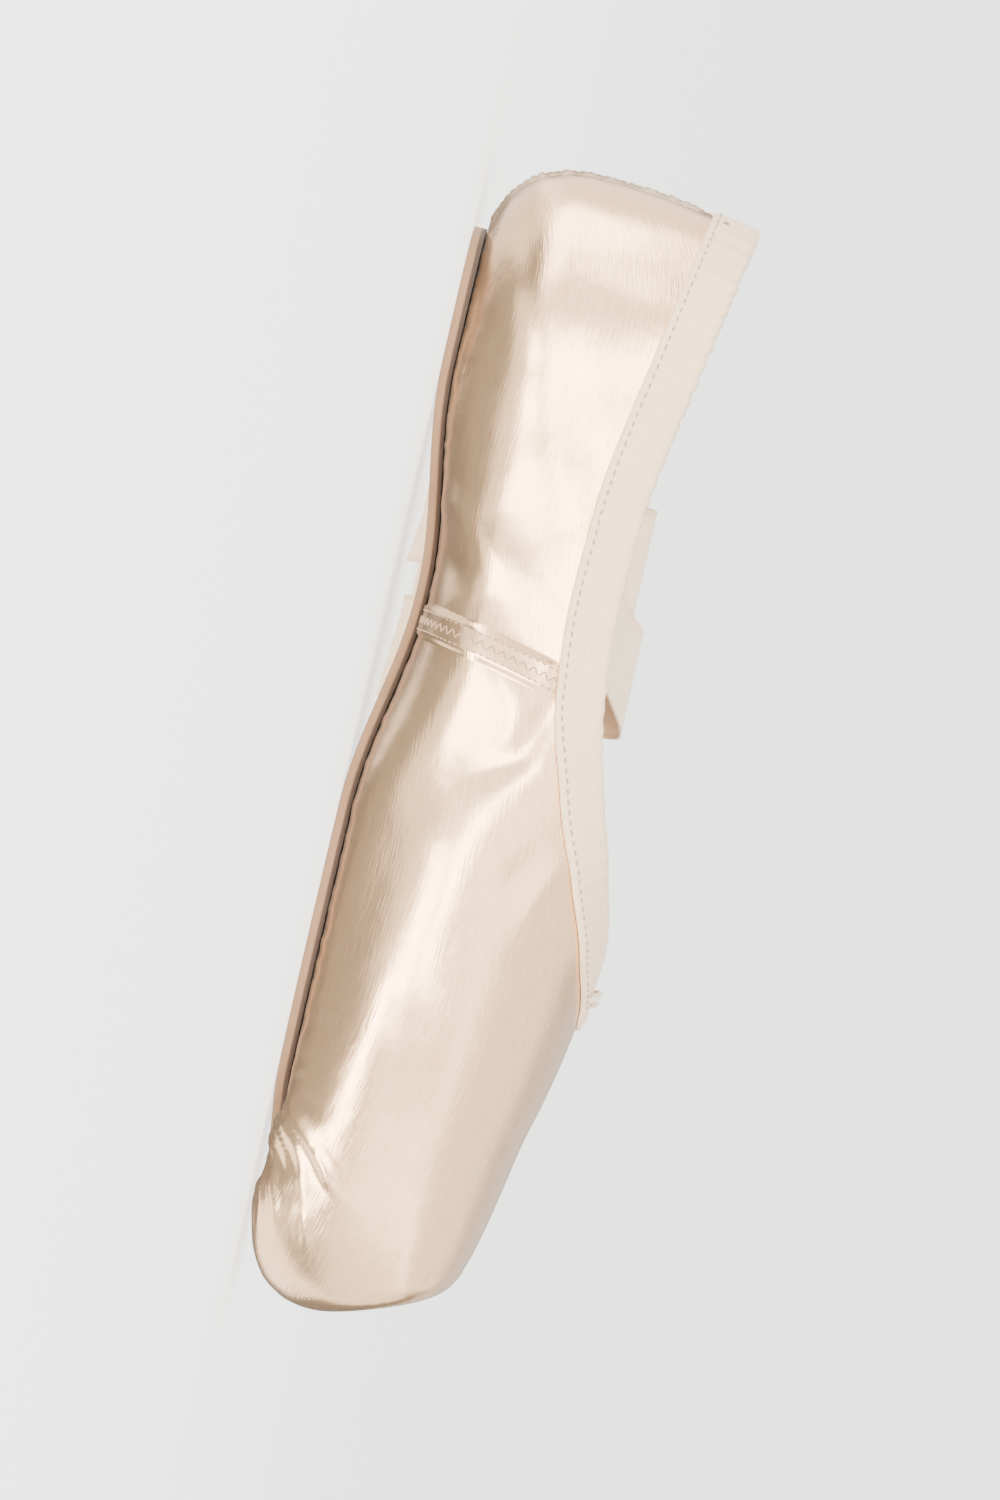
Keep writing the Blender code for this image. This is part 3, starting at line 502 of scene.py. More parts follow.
# The pleats run from the front edge of the sole forward over the toe: height, half width, and their line
# as distances back and up from the sole's edge along the cloth. Each is steeper on the side of the sole.
pleats = (
    (0.00070, 0.0012, ((0.0430, 0.0010), (0.0345, 0.0135), (0.0290, 0.0188), (0.0225, 0.0262))),
    (0.00075, 0.0012, ((0.0410, 0.0000), (0.0330, 0.0105), (0.0255, 0.0150), (0.0190, 0.0182))),
    (0.00060, 0.0010, ((0.0380, -0.0015), (0.0320, 0.0072), (0.0270, 0.0108), (0.0220, 0.0128))),
    (0.00070, 0.0011, ((0.0360, -0.0050), (0.0290, 0.0050), (0.0200, 0.0092), (0.0110, 0.0096))),
    (0.00060, 0.0010, ((0.0345, -0.0080), (0.0275, 0.0015), (0.0200, 0.0048), (0.0110, 0.0040))),
    (0.00065, 0.0010, ((0.0330, -0.0110), (0.0260, -0.0030), (0.0170, 0.0003), (0.0090, 0.0000))),
    (0.00060, 0.0010, ((0.0320, -0.0145), (0.0240, -0.0075), (0.0150, -0.0040), (0.0070, -0.0030))),
    (0.00060, 0.0010, ((0.0310, -0.0180), (0.0220, -0.0120), (0.0130, -0.0085), (0.0060, -0.0065))),
    (0.00050, 0.0010, ((0.0305, -0.0212), (0.0210, -0.0172), (0.0120, -0.0135), (0.0050, -0.0105))),
    (0.00035, 0.0009, ((0.0335, 0.0150), (0.0290, 0.0190), (0.0245, 0.0225))),
    (0.00030, 0.0009, ((0.0205, 0.0165), (0.0160, 0.0172), (0.0120, 0.0170))),
)
pleat_steep, pleat_gentle = 0.85, 1.45
pleat_unlike = 0.0005
pleat_start, pleat_end = (0.0, 0.12), (0.5, 1.0)
# Slack ripples of the quarters: length, tilt and height. Puckers by the sole: length, bend, wobble, share.
ripples = ((0.040, 0.6, 0.00008), (0.023, -0.8, 0.00004), (0.013, 0.3, 0.00002))
ripple_phases, ripple_phase_step, ripples_from_sole = {1: 1.7, -1: 4.1}, 2.3, (0.002, 0.010)
sole_puckers = ((0.0062, 1.9, 310, 1.0), (0.0037, 2.4, 190, 0.6))
sole_pucker_height, sole_pucker_reach = 0.00022, 0.0034
sole_puckers_up, sole_puckers_along = (0.0002, 0.0016), (0.034, 0.050)


def pleat_relief(side):
    """The gathers of one side, laid a little differently from the other side's."""
    place = np.stack([backs + pleat_unlike * side, girth + pleat_unlike * side], axis=2)
    relief = np.zeros((stations, columns))
    for height, half_width, line in pleats:
        away, hand, share = near_line(place, line)
        width = half_width * np.where(hand > 0, pleat_steep, pleat_gentle)
        fade = smoothstep(*pleat_start, share) * (1 - smoothstep(*pleat_end, share))
        relief += height * fade * np.exp(-((away / width) ** 2))
    return relief


def uneven_wave(at, length, bend, wobble, shift=0.0):
    """A wave whose length wanders, as in cloth that is gathered by hand."""
    return np.sin(2 * math.pi * at / length + bend * np.sin(at * wobble + shift))


def ripple_relief(side):
    """Small slack ripples of the quarters, and puckers where the cloth goes under the sole."""
    relief = np.zeros((stations, columns))
    phase = ripple_phases[side]
    for wave, tilt, height in ripples:
        relief += height * np.sin(2 * math.pi * (cloth_along + tilt * girth) / wave + phase)
        phase += ripple_phase_step
    relief *= softness * smoothstep(*ripples_from_sole, girth)
    puckers = sum(share * uneven_wave(cloth_along, *wave, phase) for *wave, share in sole_puckers)
    near_sole = np.exp(-np.clip(girth, 0, None) / sole_pucker_reach) * smoothstep(*sole_puckers_up, girth)
    return relief + sole_pucker_height * puckers * near_sole * smoothstep(*sole_puckers_along, cloth_along)


raised_side = (np.abs(feet - side_seam_foot) < seam_half_width + same_spot)[:, None]
raised_back = np.zeros((stations, 1), bool)
raised_back[-raised_back_rows:] = True
fade = smoothstep(*under_binding, below_edge) * smoothstep(*seam_above_sole, girth)
puckered = sum(share * uneven_wave(girth, *wave) for *wave, share in heel_puckers)
puckered *= heel_pucker_height * smoothstep(*heel_pucker_start, girth)
seam_relief = fade * (seam_step * (raised_side | raised_back) + puckered * raised_back)

walls = box_wall + (quarter_wall - box_wall) * smoothstep(box_end, quarter_start, feet)
wall_share = np.clip((np.arange(columns) - flat_pieces) / lower_pieces * wall_growth, 0, 1)
walls = margin_wall + (walls[:, None] - margin_wall) * wall_share[None, :]
closed_top = np.abs(grid[:, -1, 1]) < middle_tolerance
closed_bottom = np.abs(grid[:, 0, 1]) < middle_tolerance


def skin(side, relief, depth):
    """One side of the shoe's surface, moved out by the relief and in by the depth."""
    moved = grid + normals * (relief - depth)[:, :, None]
    moved[closed_top, -1, 1] = 0
    moved[closed_bottom, 0, 1] = 0
    moved[-1, :, 1] = 0
    return to_side(moved, side)


reliefs = {
    side: crease_relief(side) + pleat_relief(side) + ripple_relief(side) + seam_relief for side in (1, -1)
}
at_middle = 1 - smoothstep(0.0, middle_blend, np.abs(grid[:, :, 1]))
middle_relief = (reliefs[1] + reliefs[-1]) / 2
for side in (1, -1):
    reliefs[side] += (middle_relief - reliefs[side]) * at_middle
outer = {side: skin(side, reliefs[side], 0 * walls) for side in (1, -1)}


def cloth_mesh():
    """An empty mesh whose faces carry their places on the cloth."""
    bm = bmesh.new()
    bm.loops.layers.uv.new("Cloth")
    return bm


def add_skin(bm, points, places):
    """Faces over a grid of points, with their places on the cloth, and the vertices as a grid."""
    verts = [[bm.verts.new(point) for point in row] for row in points]
    for i in range(len(verts) - 1):
        add_strip(bm, verts[i], verts[i + 1], places[i], places[i + 1])
    return verts


def add_strip(bm, first, second, first_places, second_places=None):
    """Faces between two rows of vertices, or triangles where two corners are in one spot."""
    layer = bm.loops.layers.uv["Cloth"]
    if second_places is None:
        second_places = first_places
    for k in range(len(first) - 1):
        corners = (first[k], first[k + 1], second[k + 1], second[k])
        spots = (first_places[k], first_places[k + 1], second_places[k + 1], second_places[k])
        kept = []
        for vert, place in zip(corners, spots):
            if all((vert.co - other.co).length > same_spot for other, _ in kept):
                kept.append((vert, place))
        if len(kept) < 3:
            continue
        made = bm.faces.new([vert for vert, _ in kept])
        for loop, (_, place) in zip(made.loops, kept):
            loop[layer].uv = place


def add_rims(bm, first, second, places):
    """Strips that join the side edges of two skins."""
    for end in (0, -1):
        add_strip(bm, [row[end] for row in first], [row[end] for row in second], [row[end] for row in places])


def add_piece(name, bm, material):
    """The mesh as an object of the shoe, which rides on its only body."""
    mesh = bpy.data.meshes.new(name)
    bm.to_mesh(mesh)
    bm.free()
    mesh.shade_smooth()
    mesh.materials.append(material)
    made = add_object(name, mesh)
    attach(made, "root")
    return made


def closed_piece(name, bm, material, sharp_angle=60):
    """A piece whose skins are welded into one closed form that faces out."""
    bmesh.ops.remove_doubles(bm, verts=bm.verts, dist=weld_distance)
    bmesh.ops.recalc_face_normals(bm, faces=bm.faces)
    made = add_piece(name, bm, material)
    made.data.set_sharp_from_angle(angle=math.radians(sharp_angle))
    return made


def add_cap(bm, left, right, flat):
    """The flat end between the two sides, row by row up its height from their flat bottoms."""
    shares = np.linspace(0, 1, 2 * flat + 1)[None, :, None]
    points = left[flat:, None] * (1 - shares) + right[flat:, None] * shares
    points[0] = np.concatenate([left[flat:0:-1], right[: flat + 1]])
    heights = np.repeat(along_line(points[:, 0])[:, None], 2 * flat + 1, axis=1)
    add_skin(bm, points, np.stack([points[:, :, 1], -heights], axis=2))


def flat_columns(kept):
    """How many of the kept columns after the first lie in the flat bottom."""
    return int((kept <= flat_pieces).sum()) - 1


def add_shell(bm, outsides, insides, spots, kept, first_open, rings, flats):
    """A closed wall between the skins of both sides, with a rim round each of its two openings."""
    lost = len(outsides[1]) - len(insides[1])
    for side in (1, -1):
        places = spots * np.array([side, 1])
        outside = add_skin(bm, outsides[side], places)
        inside = add_skin(bm, insides[side], places[lost:][:, kept])
        for row, first in zip((-1, 0), first_open):
            edge = [line[row] for line in outside[first:]]
            add_strip(bm, edge, [line[row] for line in inside[first - lost :]], places[first:, row])
        if rings:
            curve = np.concatenate([rings[side], outsides[side][:1]])
            steps = np.linalg.norm(np.diff(curve, axis=0), axis=2)
            before = np.cumsum(steps[::-1], axis=0)[::-1]
            along = places[:1, :, 1] - np.concatenate([before, np.zeros((1, before.shape[1]))])
            across = np.repeat(places[:1, :, 0], len(curve), axis=0)
            add_skin(bm, curve, np.stack([across, along], axis=2))
    fronts = rings or outsides
    add_cap(bm, fronts[1][0], fronts[-1][0], flats[0])
    add_cap(bm, insides[1][0], insides[-1][0], flats[1])


platform_foot, platform_lean = sections[0][:2]
platform_depth = platform_rounding * math.hypot(1, platform_lean)
platform_rings = []
for angle in np.radians(platform_ring_angles):
    shrink = platform_rounding * (1 - math.cos(angle))
    sunk = platform_depth * (1 - math.sin(angle))
    platform_rings.append(placed(section(platform_foot + sunk, shrink), platform_foot, -sunk))
platform_rings = {side: to_side(np.array(platform_rings), side) for side in (1, -1)}


def add_sockets(tree, in_out, sockets):
    """A node group's inputs or outputs: the name and kind of each, and perhaps its first value."""
    for name, kind, *value in sockets:
        socket = tree.interface.new_socket(name, in_out=in_out, socket_type="NodeSocket" + kind)
        if value:
            socket.default_value = value[0]


def add_math(tree, operation, *values):
    return add_node(tree, "ShaderNodeMath", dict(enumerate(values)), operation=operation)[0]


def cloth_group():
    """Threads of a woven cloth, in metres on the cloth: how high they stand, and their uneven tone."""
    group = bpy.data.node_groups.new("woven threads", "ShaderNodeTree")
    counts = (("Warp Per Metre", "Float", 4000.0), ("Weft Per Metre", "Float", 2500.0))
    shares = (("Threads", "Float", 1.0), ("Slubs", "Float", 0.5))
    add_sockets(group, "INPUT", (("Cloth", "Vector"), *counts, *shares))
    add_sockets(group, "OUTPUT", (("Height", "Float"), ("Tone", "Float")))
    source = add_node(group, "NodeGroupInput")
    parts = add_node(group, "ShaderNodeSeparateXYZ", {0: source["Cloth"]})
    waves = []
    for axis, count in (("X", "Warp Per Metre"), ("Y", "Weft Per Metre")):
        turns = add_math(group, "MULTIPLY", parts[axis], source[count])
        waves.append(add_math(group, "SINE", add_math(group, "MULTIPLY", turns, 2 * math.pi)))
    threads_up = add_math(group, "MULTIPLY", add_math(group, "ADD", *waves), source["Threads"])
    slub_scale = {0: source["Cloth"], 1: (2600, 170, 1)}
    stretched = add_node(group, "ShaderNodeVectorMath", slub_scale, operation="MULTIPLY")[0]
    slub_inputs = {"Vector": stretched, "Scale": 1.0, "Detail": 2.0}
    slub = add_node(group, "ShaderNodeTexNoise", slub_inputs, noise_dimensions="2D")["Fac"]
    uneven = add_math(group, "SUBTRACT", slub, 0.5)
    height = add_math(group, "MULTIPLY_ADD", uneven, source["Slubs"], threads_up)
    add_node(group, "NodeGroupOutput", {"Height": height, "Tone": slub})
    return group


woven_threads = cloth_group()


def mixed_colour(tree, share, low, high):
    """A colour that runs from low to high with the share."""
    inputs = {"Factor": share, "A": low, "B": high}
    return add_node(tree, "ShaderNodeMix", inputs, data_type="RGBA")["Result"]


def bumped(tree, height, distance, strength, below=None):
    """A bump of the height, over the bump below it."""
    inputs = {"Height": height, "Distance": distance, "Strength": strength}
    if below is not None:
        inputs["Normal"] = below
    return add_node(tree, "ShaderNodeBump", inputs)["Normal"]


def smooth_range(tree, value, start, end):
    """A share that goes smoothly from 0 at the start to 1 at the end."""
    inputs = {"Value": value, "From Min": start, "From Max": end}
    return add_node(tree, "ShaderNodeMapRange", inputs, interpolation_type="SMOOTHSTEP")["Result"]


def object_noise(tree, scale, detail, stretch=(1, 1, 1)):
    """Soft noise over the piece, by its place on the shoe."""
    place = add_node(tree, "ShaderNodeTexCoord")["Object"]
    mapped = add_node(tree, "ShaderNodeMapping", {"Vector": place, "Scale": stretch})["Vector"]
    return add_node(tree, "ShaderNodeTexNoise", {"Vector": mapped, "Scale": scale, "Detail": detail})["Fac"]


def woven(tree, threads, tones, bump, below=None):
    """The colour and bump of a woven cloth, from its threads in a metre along and across, how far they
    stand up and how uneven they are."""
    inputs = dict(zip(("Warp Per Metre", "Weft Per Metre", "Threads", "Slubs"), threads))
    inputs["Cloth"] = add_node(tree, "ShaderNodeUVMap", uv_map="Cloth")["UV"]
    laid = add_node(tree, "ShaderNodeGroup", inputs, node_tree=woven_threads)
    return mixed_colour(tree, laid["Tone"], *tones), bumped(tree, laid["Height"], *bump, below)


satin_tones = (0.70, 0.415, 0.212), (0.86, 0.575, 0.332)
satin, satin_tree = node_material("peach_satin")
satin_waves = bumped(satin_tree, object_noise(satin_tree, 95.0, 3.0), 0.0006, 0.35)
colour, relief = woven(satin_tree, (3300, 1500, 0.0, 1.6), satin_tones, (0.00005, 0.45), satin_waves)
set_surface(satin_tree, {"Base Color": colour, "Normal": relief, "Metallic": 0.93, "Roughness": 0.24})
set_surface(satin_tree, {"Sheen Weight": 0.04, "Sheen Roughness": 0.4, "Sheen Tint": (1.0, 0.93, 0.86)})

first_open_top, first_open_bottom = (
    int(np.flatnonzero(closed[:-1]).max()) for closed in (closed_top, closed_bottom)
)
open_ends = (first_open_top, first_open_bottom)
spots = np.stack([cloth_across, cloth_along], axis=2)
inside_columns = np.unique(np.concatenate([np.arange(0, columns, inside_every), [columns - 1]]))
under_satin = {}
for side in (1, -1):
    under = skin(side, reliefs[side], 0 * walls + satin_thickness)
    under_satin[side] = under[inside_rows_lost:][:, inside_columns]
bm = cloth_mesh()
flats = (flat_pieces, flat_columns(inside_columns))
add_shell(bm, outer, under_satin, spots, inside_columns, open_ends, platform_rings, flats)
satin_upper = closed_piece("satin_upper", bm, satin)
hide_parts("upper")

# The lining: cotton drill on the stiffened inner layers, which makes up the rest of the wall. It is
# sewn in at the binding and turned under the foot with the satin.

lining_gap = 0.00005
lining_tones = (0.56, 0.44, 0.33), (0.68, 0.56, 0.44)
lining_first_row, lining_every, lining_stiffness = 3, 2, 0.6
lining_follow = 1 - lining_stiffness * (1 - softness)
lining_rows = np.arange(lining_first_row, stations, lining_every)
lining_rows = np.unique(np.concatenate([lining_rows, open_ends, [stations - 1]]))
lining_columns = np.unique(np.concatenate([np.arange(0, columns, lining_every), [columns - 1]]))

lining_cloth, lining_tree = node_material("cotton_lining")
colour, relief = woven(lining_tree, (1300, 1300, 1.0, 1.2), lining_tones, (0.00012, 0.6))
set_surface(lining_tree, {"Base Color": colour, "Normal": relief, "Roughness": 0.9, "Sheen Weight": 0.1})

lining_outside, lining_inside, inner = {}, {}, {}
for side in (1, -1):
    under = skin(side, reliefs[side], 0 * walls + satin_thickness + lining_gap)
    inner[side] = skin(side, (reliefs[side] - seam_relief * (below_edge > 0)) * lining_follow, walls)
    lining_outside[side] = under[lining_rows][:, lining_columns]
    lining_inside[side] = inner[side][lining_rows[1:]][:, lining_columns]
lining_open = [int(np.searchsorted(lining_rows, first)) for first in open_ends]
bm = cloth_mesh()
lining_spots = spots[lining_rows][:, lining_columns]
same_columns = np.arange(len(lining_columns))
flats = (flat_columns(lining_columns), flat_columns(lining_columns))
add_shell(bm, lining_outside, lining_inside, lining_spots, same_columns, lining_open, None, flats)
lining = closed_piece("lining", bm, lining_cloth)

# The outsole: one thin piece of tan leather, flesh side down, cut to a pear shape, pared at its edge and
# glued in the hollow of the turned-under satin.

sole_edge_slope, sole_pieces = 0.0007, 14
sole_tones = (0.12, 0.06, 0.026), (0.25, 0.14, 0.068)
# Near black for the top of the sole's edge: partly a glue line, partly painted shade of the gap under the
# satin.
sole_glue_and_shade = (0.035, 0.018, 0.009)
sole_front_end, sole_heel_start = 0.052, 0.200
front_stations, middle_stations, heel_stations = 16, 90, 18
grain_share, glue_shade_from, glue_shade_full = 0.35, 0.60, 0.85
edge_share, edge_rounding, edge_high = 0.4, 0.3, 0.84
plate_sharp_angle = 75
# The knife's unevenness along the edge: its share of the width, its turns and its start.
knife_waves = ((0.004, 420, 0), (0.003, 910, 1))

sole_leather, sole_tree = node_material("sole_leather")
grain = object_noise(sole_tree, 900.0, 5.0)
cloud = object_noise(sole_tree, 55.0, 4.0, (1, 1.6, 1))
share = add_math(sole_tree, "MULTIPLY", cloud, 1 - grain_share)
share = add_math(sole_tree, "MULTIPLY_ADD", grain, grain_share, share)
top = add_node(sole_tree, "ShaderNodeAttribute", attribute_name="Top")["Fac"]
# The top of the edge is painted near black: a glue line and painted shade for the dark gap under the
# turned-under satin.
glue_and_shade_share = smooth_range(sole_tree, top, glue_shade_from, glue_shade_full)
colour = mixed_colour(sole_tree, glue_and_shade_share, mixed_colour(sole_tree, share, *sole_tones), sole_glue_and_shade)
set_surface(sole_tree, {"Base Color": colour, "Normal": bumped(sole_tree, grain, 0.0002, 0.5)})
set_surface(sole_tree, {"Roughness": 0.82, "Sheen Weight": 0.12})


def plate_mesh(plate_backs, half_at, bottom_at, thickness, slope, pieces, crown=0.0):
    """A thin plate with a rounded edge, bent along its length, crowned by a little where it is soft."""
    bm = cloth_mesh()
    top = bm.verts.layers.float.new("Top")
    shares = np.sin(np.linspace(-0.5, 0.5, pieces + 1) * math.pi)
    lower, upper, places = [], [], []
    for back in plate_backs:
        half = max(half_at(back), 0.0)
        edge = min(slope, edge_share * half)
        x, bottom = x_at(back), bottom_at(back)
        flat, turned_in = half - edge, half - edge_rounding * edge
        heights = thickness * np.array([0.5, 1 - edge_high, edge_high])
        rim, low_in, high_in = (
            [(x, side * out, bottom + height) for side in (-1, 1)]
            for out, height in zip((half, turned_in, turned_in), heights)
        )
        low = [(x, share * flat, bottom) for share in shares]
        high = [(x, share * flat, bottom + thickness + crown * (1 - share**2)) for share in shares]
        lower.append([rim[0], low_in[0], *low, low_in[1], rim[1]])
        upper.append([rim[0], high_in[0], *high, high_in[1], rim[1]])
        places.append([(point[1], back) for point in lower[-1]])
    for points, share in ((lower, 0.0), (upper, 1.0)):
        for row in add_skin(bm, points, places):
            for vert in row:
                vert[top] = share
            row[0][top] = row[-1][top] = 0.5
    return bm


def cut_half(back):
    """The outline as a knife cuts it, with very slight unevenness."""
    uneven = sum(size * math.sin(back * turns + start) for size, turns, start in knife_waves)
    return sole_half(back) * (1 + uneven)


tip_turn = np.linspace(0, 0.5, front_stations) * math.pi
end_turn = np.linspace(0, 0.5, heel_stations)[1:] * math.pi
front_backs = sole_tip + (sole_front_end - sole_tip) * (1 - np.cos(tip_turn))
middle_backs = np.linspace(sole_front_end, sole_heel_start, middle_stations)[1:]
heel_backs = sole_heel_start + (sole_backs[-1] - sole_heel_start) * np.sin(end_turn)
sole_stations = np.concatenate([front_backs, middle_backs, heel_backs])
bm = plate_mesh(sole_stations, cut_half, sole_height, sole_thickness, sole_edge_slope, sole_pieces)
leather_sole = closed_piece("leather_sole", bm, sole_leather, plate_sharp_angle)
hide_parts("outsole")

# The insole: a sock of thin cotton-covered board, glued over the turned-under edges inside.

insole_thickness, insole_edge_slope, insole_crown, insole_pieces = 0.0018, 0.0005, 0.0002, 12
insole_front, insole_back, insole_rounding = 0.040, 0.2185, 0.016
insole_beyond_flat, insole_above_edge = 0.0006, 0.0001
insole_end_stations, insole_middle_stations = 14, 60
sock_tones = (0.52, 0.41, 0.31), (0.64, 0.53, 0.42)


def insole_half(back):
    """A little beyond the flat bottom, round at both ends."""
    if back > heel_start:
        share = min((back - heel_start) / (insole_back - heel_start), 1)
        rounding = (1 - share**heel_plan_power) ** (1 / heel_plan_power)
        return (section_value("flat", heel_start) + insole_beyond_flat) * rounding
    rounding = math.sqrt(1 - (1 - min((back - insole_front) / insole_rounding, 1)) ** 2)
    return (section_value("flat", back) + insole_beyond_flat) * rounding


def insole_bottom(back):
    return sole_height(back) + sole_thickness + margin_wall + 2 * piece_gap + insole_above_edge


sock_cloth, sock_tree = node_material("sock_cotton")
colour, relief = woven(sock_tree, (900, 900, 1.0, 1.0), sock_tones, (0.00015, 0.7))
set_surface(sock_tree, {"Base Color": colour, "Normal": relief, "Roughness": 0.92})
ends = 1 - np.cos(np.linspace(0, 0.5, insole_end_stations) * math.pi)
front_end = insole_front + insole_rounding
insole_stations = np.concatenate(
    [
        insole_front + insole_rounding * ends,
        np.linspace(front_end, heel_start, insole_middle_stations)[1:],
        heel_start + (insole_back - heel_start) * (1 - ends[::-1])[1:],
    ]
)
plate_sizes = (insole_thickness, insole_edge_slope, insole_pieces, insole_crown)
bm = plate_mesh(insole_stations, insole_half, insole_bottom, *plate_sizes)
sock = closed_piece("sock", bm, sock_cloth, plate_sharp_angle)
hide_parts("insole")

# The binding: cotton tape folded over the edge of the collar and throat, sewn down along its lower
# edge, as a casing for the drawstring that runs round the whole opening and makes it pucker. The cord
# goes in through an eyelet, a small worked hole beside the back seam.

binding_thickness, binding_gap, binding_sewn_down = 0.0008, 0.00035, 0.00022
binding_outside, binding_inside, binding_step = 0.0090, 0.0070, 0.00055
mitre_behind = np.array([0.0, 0.0006, 0.0016, 0.0034, 0.0065])
mitre_lengths = np.array([1.22, 1.16, 1.08, 1.03, 1.0])
outside_shares = (1, 0.97, 0.9, 0.78, 0.64, 0.5, 0.36, 0.22, 0.1)
inside_shares = (0.12, 0.3, 0.5, 0.7, 0.88, 0.97, 1.0)
fold_angles = np.radians([8, 34, 62, 90, 118, 146, 172])
fold_depth, cut_edge_share, sewn_down_power, puckers_power = 0.95, 0.99, 6, 0.7
first_from_point, least_apart = 0.003, 0.0002
# The puckers' waves: length, bend, wobble, hand and share. They fade in from the throat's point and out at
# the heel. The stitches lie on the tape a share of the way from one of its points to the next.
tape_puckers = ((0.0031, 2.1, 260, 1, 1.0), (0.0047, 1.7, 170, -1, 0.7))
pucker_height, least_pucker = 0.00020, 0.35
puckers_grow, puckers_start, puckers_end = (0.03, 0.19), (0.0, 0.01), (0.0, 0.006)
stitched_point, stitched_share = 2, 0.4
# The eyelet's hole is not cut: a spot of painted shade on the tape stands for it.
eyelet_place, eyelet_radius, eyelet_shade_share = (-0.1121, -0.0120, 0.0488), 0.0008, 0.6
eyelet_hole_shade = (0.12, 0.065, 0.035)
tape_tones = (0.58, 0.40, 0.238), (0.72, 0.53, 0.338)


def skin_tree(skins):
    """A search tree over a skin's two sides, with its faces turned outwards."""
    points, polygons = [], []
    for side in (1, -1):
        base = len(points)
        rows, across = skins[side].shape[:2]
        points += [tuple(point) for point in skins[side].reshape(-1, 3)]
        for i in range(rows - 1):
            for k in range(across - 1):
                at = base + i * across + k
                polygons.append([at, at + 1, at + across + 1, at + across][::side])
    middle = rows // 2
    a, b = skins[1][middle, widest_column : widest_column + 2]
    if np.cross(b - a, skins[1][middle + 1, widest_column + 1] - b)[1] < 0:
        polygons = [corners[::-1] for corners in polygons]
    return BVHTree.FromPolygons(points, polygons)


def nearest(tree, point):
    place, normal, _, _ = tree.find_nearest(Vector(point))
    return np.array(place), np.array(normal)


outer_tree = skin_tree(outer)
inner_tree = skin_tree(inner)


def edge_frames(side):
    """Even points round the upper's edge, from the throat's point to the heel, with their directions."""
    outside, inside = outer[side][first_open_top:, -1], inner[side][first_open_top:, -1]
    facing = to_side(normals[first_open_top:, -1], side)
    middle = (outside + inside) / 2
    before = np.concatenate([[middle[1] * across_middle], middle[:-1]])
    after = np.concatenate([middle[1:], [middle[-2] * across_middle]])
    tangent = after - before
    tangent /= lengths(tangent)
    down = np.cross(facing, tangent)
    down /= lengths(down)
    if down[-1, 2] > 0:
        down = -down
    along = along_line(middle)
    even = np.arange(along[-1], first_from_point, -binding_step)[::-1]
    wanted = np.concatenate([along[along < even[0] - least_apart], even])
    made = [resampled(wanted, along, rows) for rows in (outside, inside, facing, down)]
    behind = (outer[side][first_open_top, -1, 0] - made[0][:, 0]).clip(0)
    return wanted, *made, np.interp(behind, mitre_behind, mitre_lengths)


def binding_chain(outside, inside, down, mitre, near):
    """Points round the folded tape: up the outside, over the edge and down the inside."""
    offset = binding_gap if near else binding_gap + binding_thickness
    cut_edge = offset if near else binding_gap + binding_thickness / 2
    points = []
    for share in outside_shares:
        place, normal = nearest(outer_tree, outside + down * binding_outside * mitre * share)
        thin = offset if share < cut_edge_share else cut_edge
        points.append(place + normal * (thin - binding_sewn_down * share**sewn_down_power))
    middle, half = (outside + inside) / 2, (outside - inside) / 2
    out = half / np.linalg.norm(half)
    width = np.linalg.norm(half) + offset
    for angle in fold_angles:
        points.append(middle + out * width * math.cos(angle) - down * offset * fold_depth * math.sin(angle))
    for share in inside_shares:
        place, normal = nearest(inner_tree, inside + down * binding_inside * share)
        points.append(place - normal * (offset if share < cut_edge_share else cut_edge))
    return points


tape, tape_tree = node_material("binding_tape")
colour, relief = woven(tape_tree, (1500, 2200, 0.6, 1.0), tape_tones, (0.0001, 0.5))
# Painted shade: a dark spot on the tape where the eyelet's hole would be.
from_eyelet = {0: add_node(tape_tree, "ShaderNodeTexCoord")["Object"], 1: eyelet_place}
away = add_node(tape_tree, "ShaderNodeVectorMath", from_eyelet, operation="DISTANCE")["Value"]
in_eyelet_shade = smooth_range(tape_tree, away, eyelet_radius, eyelet_shade_share * eyelet_radius)
colour = mixed_colour(tape_tree, in_eyelet_shade, colour, eyelet_hole_shade)
set_surface(tape_tree, {"Base Color": colour, "Normal": relief, "Roughness": 0.58, "Sheen Weight": 0.2})

bm = cloth_mesh()
tape_stitches, tape_ends = {}, {}
for side in (1, -1):
    gone, outsides, insides, _, downs, mitres = edge_frames(side)
    near, far = (
        np.array([binding_chain(*row, is_near) for row in zip(outsides, insides, downs, mitres)])
        for is_near in (True, False)
    )
    across = along_line(far[len(far) // 2])
    waves = sum(share * uneven_wave(gone, *wave, hand * side) for *wave, hand, share in tape_puckers)
    strength = least_pucker + (1 - least_pucker) * smoothstep(*puckers_grow, gone)
    strength *= pucker_height * smoothstep(*puckers_start, gone) * smoothstep(*puckers_end, gone[-1] - gone)
    over_fold = np.sin(np.linspace(0, math.pi, far.shape[1])) ** puckers_power
    out = far - near
    out /= np.maximum(lengths(out), least_length)
    far = far + out * (waves * strength)[:, None, None] * over_fold[None, :, None]
    for end in (0, -1):
        near[end, :, 1] = far[end, :, 1] = 0
        near[end], far[end] = tape_ends.setdefault(end, (near[end].copy(), far[end].copy()))
    places = np.stack(np.meshgrid(across, gone), axis=2) * np.array([side, 1])
    add_rims(bm, add_skin(bm, near, places), add_skin(bm, far, places), places)
    line = far[:, stitched_point] * (1 - stitched_share) + far[:, stitched_point + 1] * stitched_share
    tape_stitches[side] = line, out[:, stitched_point]
binding = closed_piece("tape_binding", bm, tape)
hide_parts("binding")

# The stitching: fine peach thread in machine stitches, along the lower edge of the binding, in two rows
# with a zigzag between them on each side seam, and beside the tape that covers the back seam.

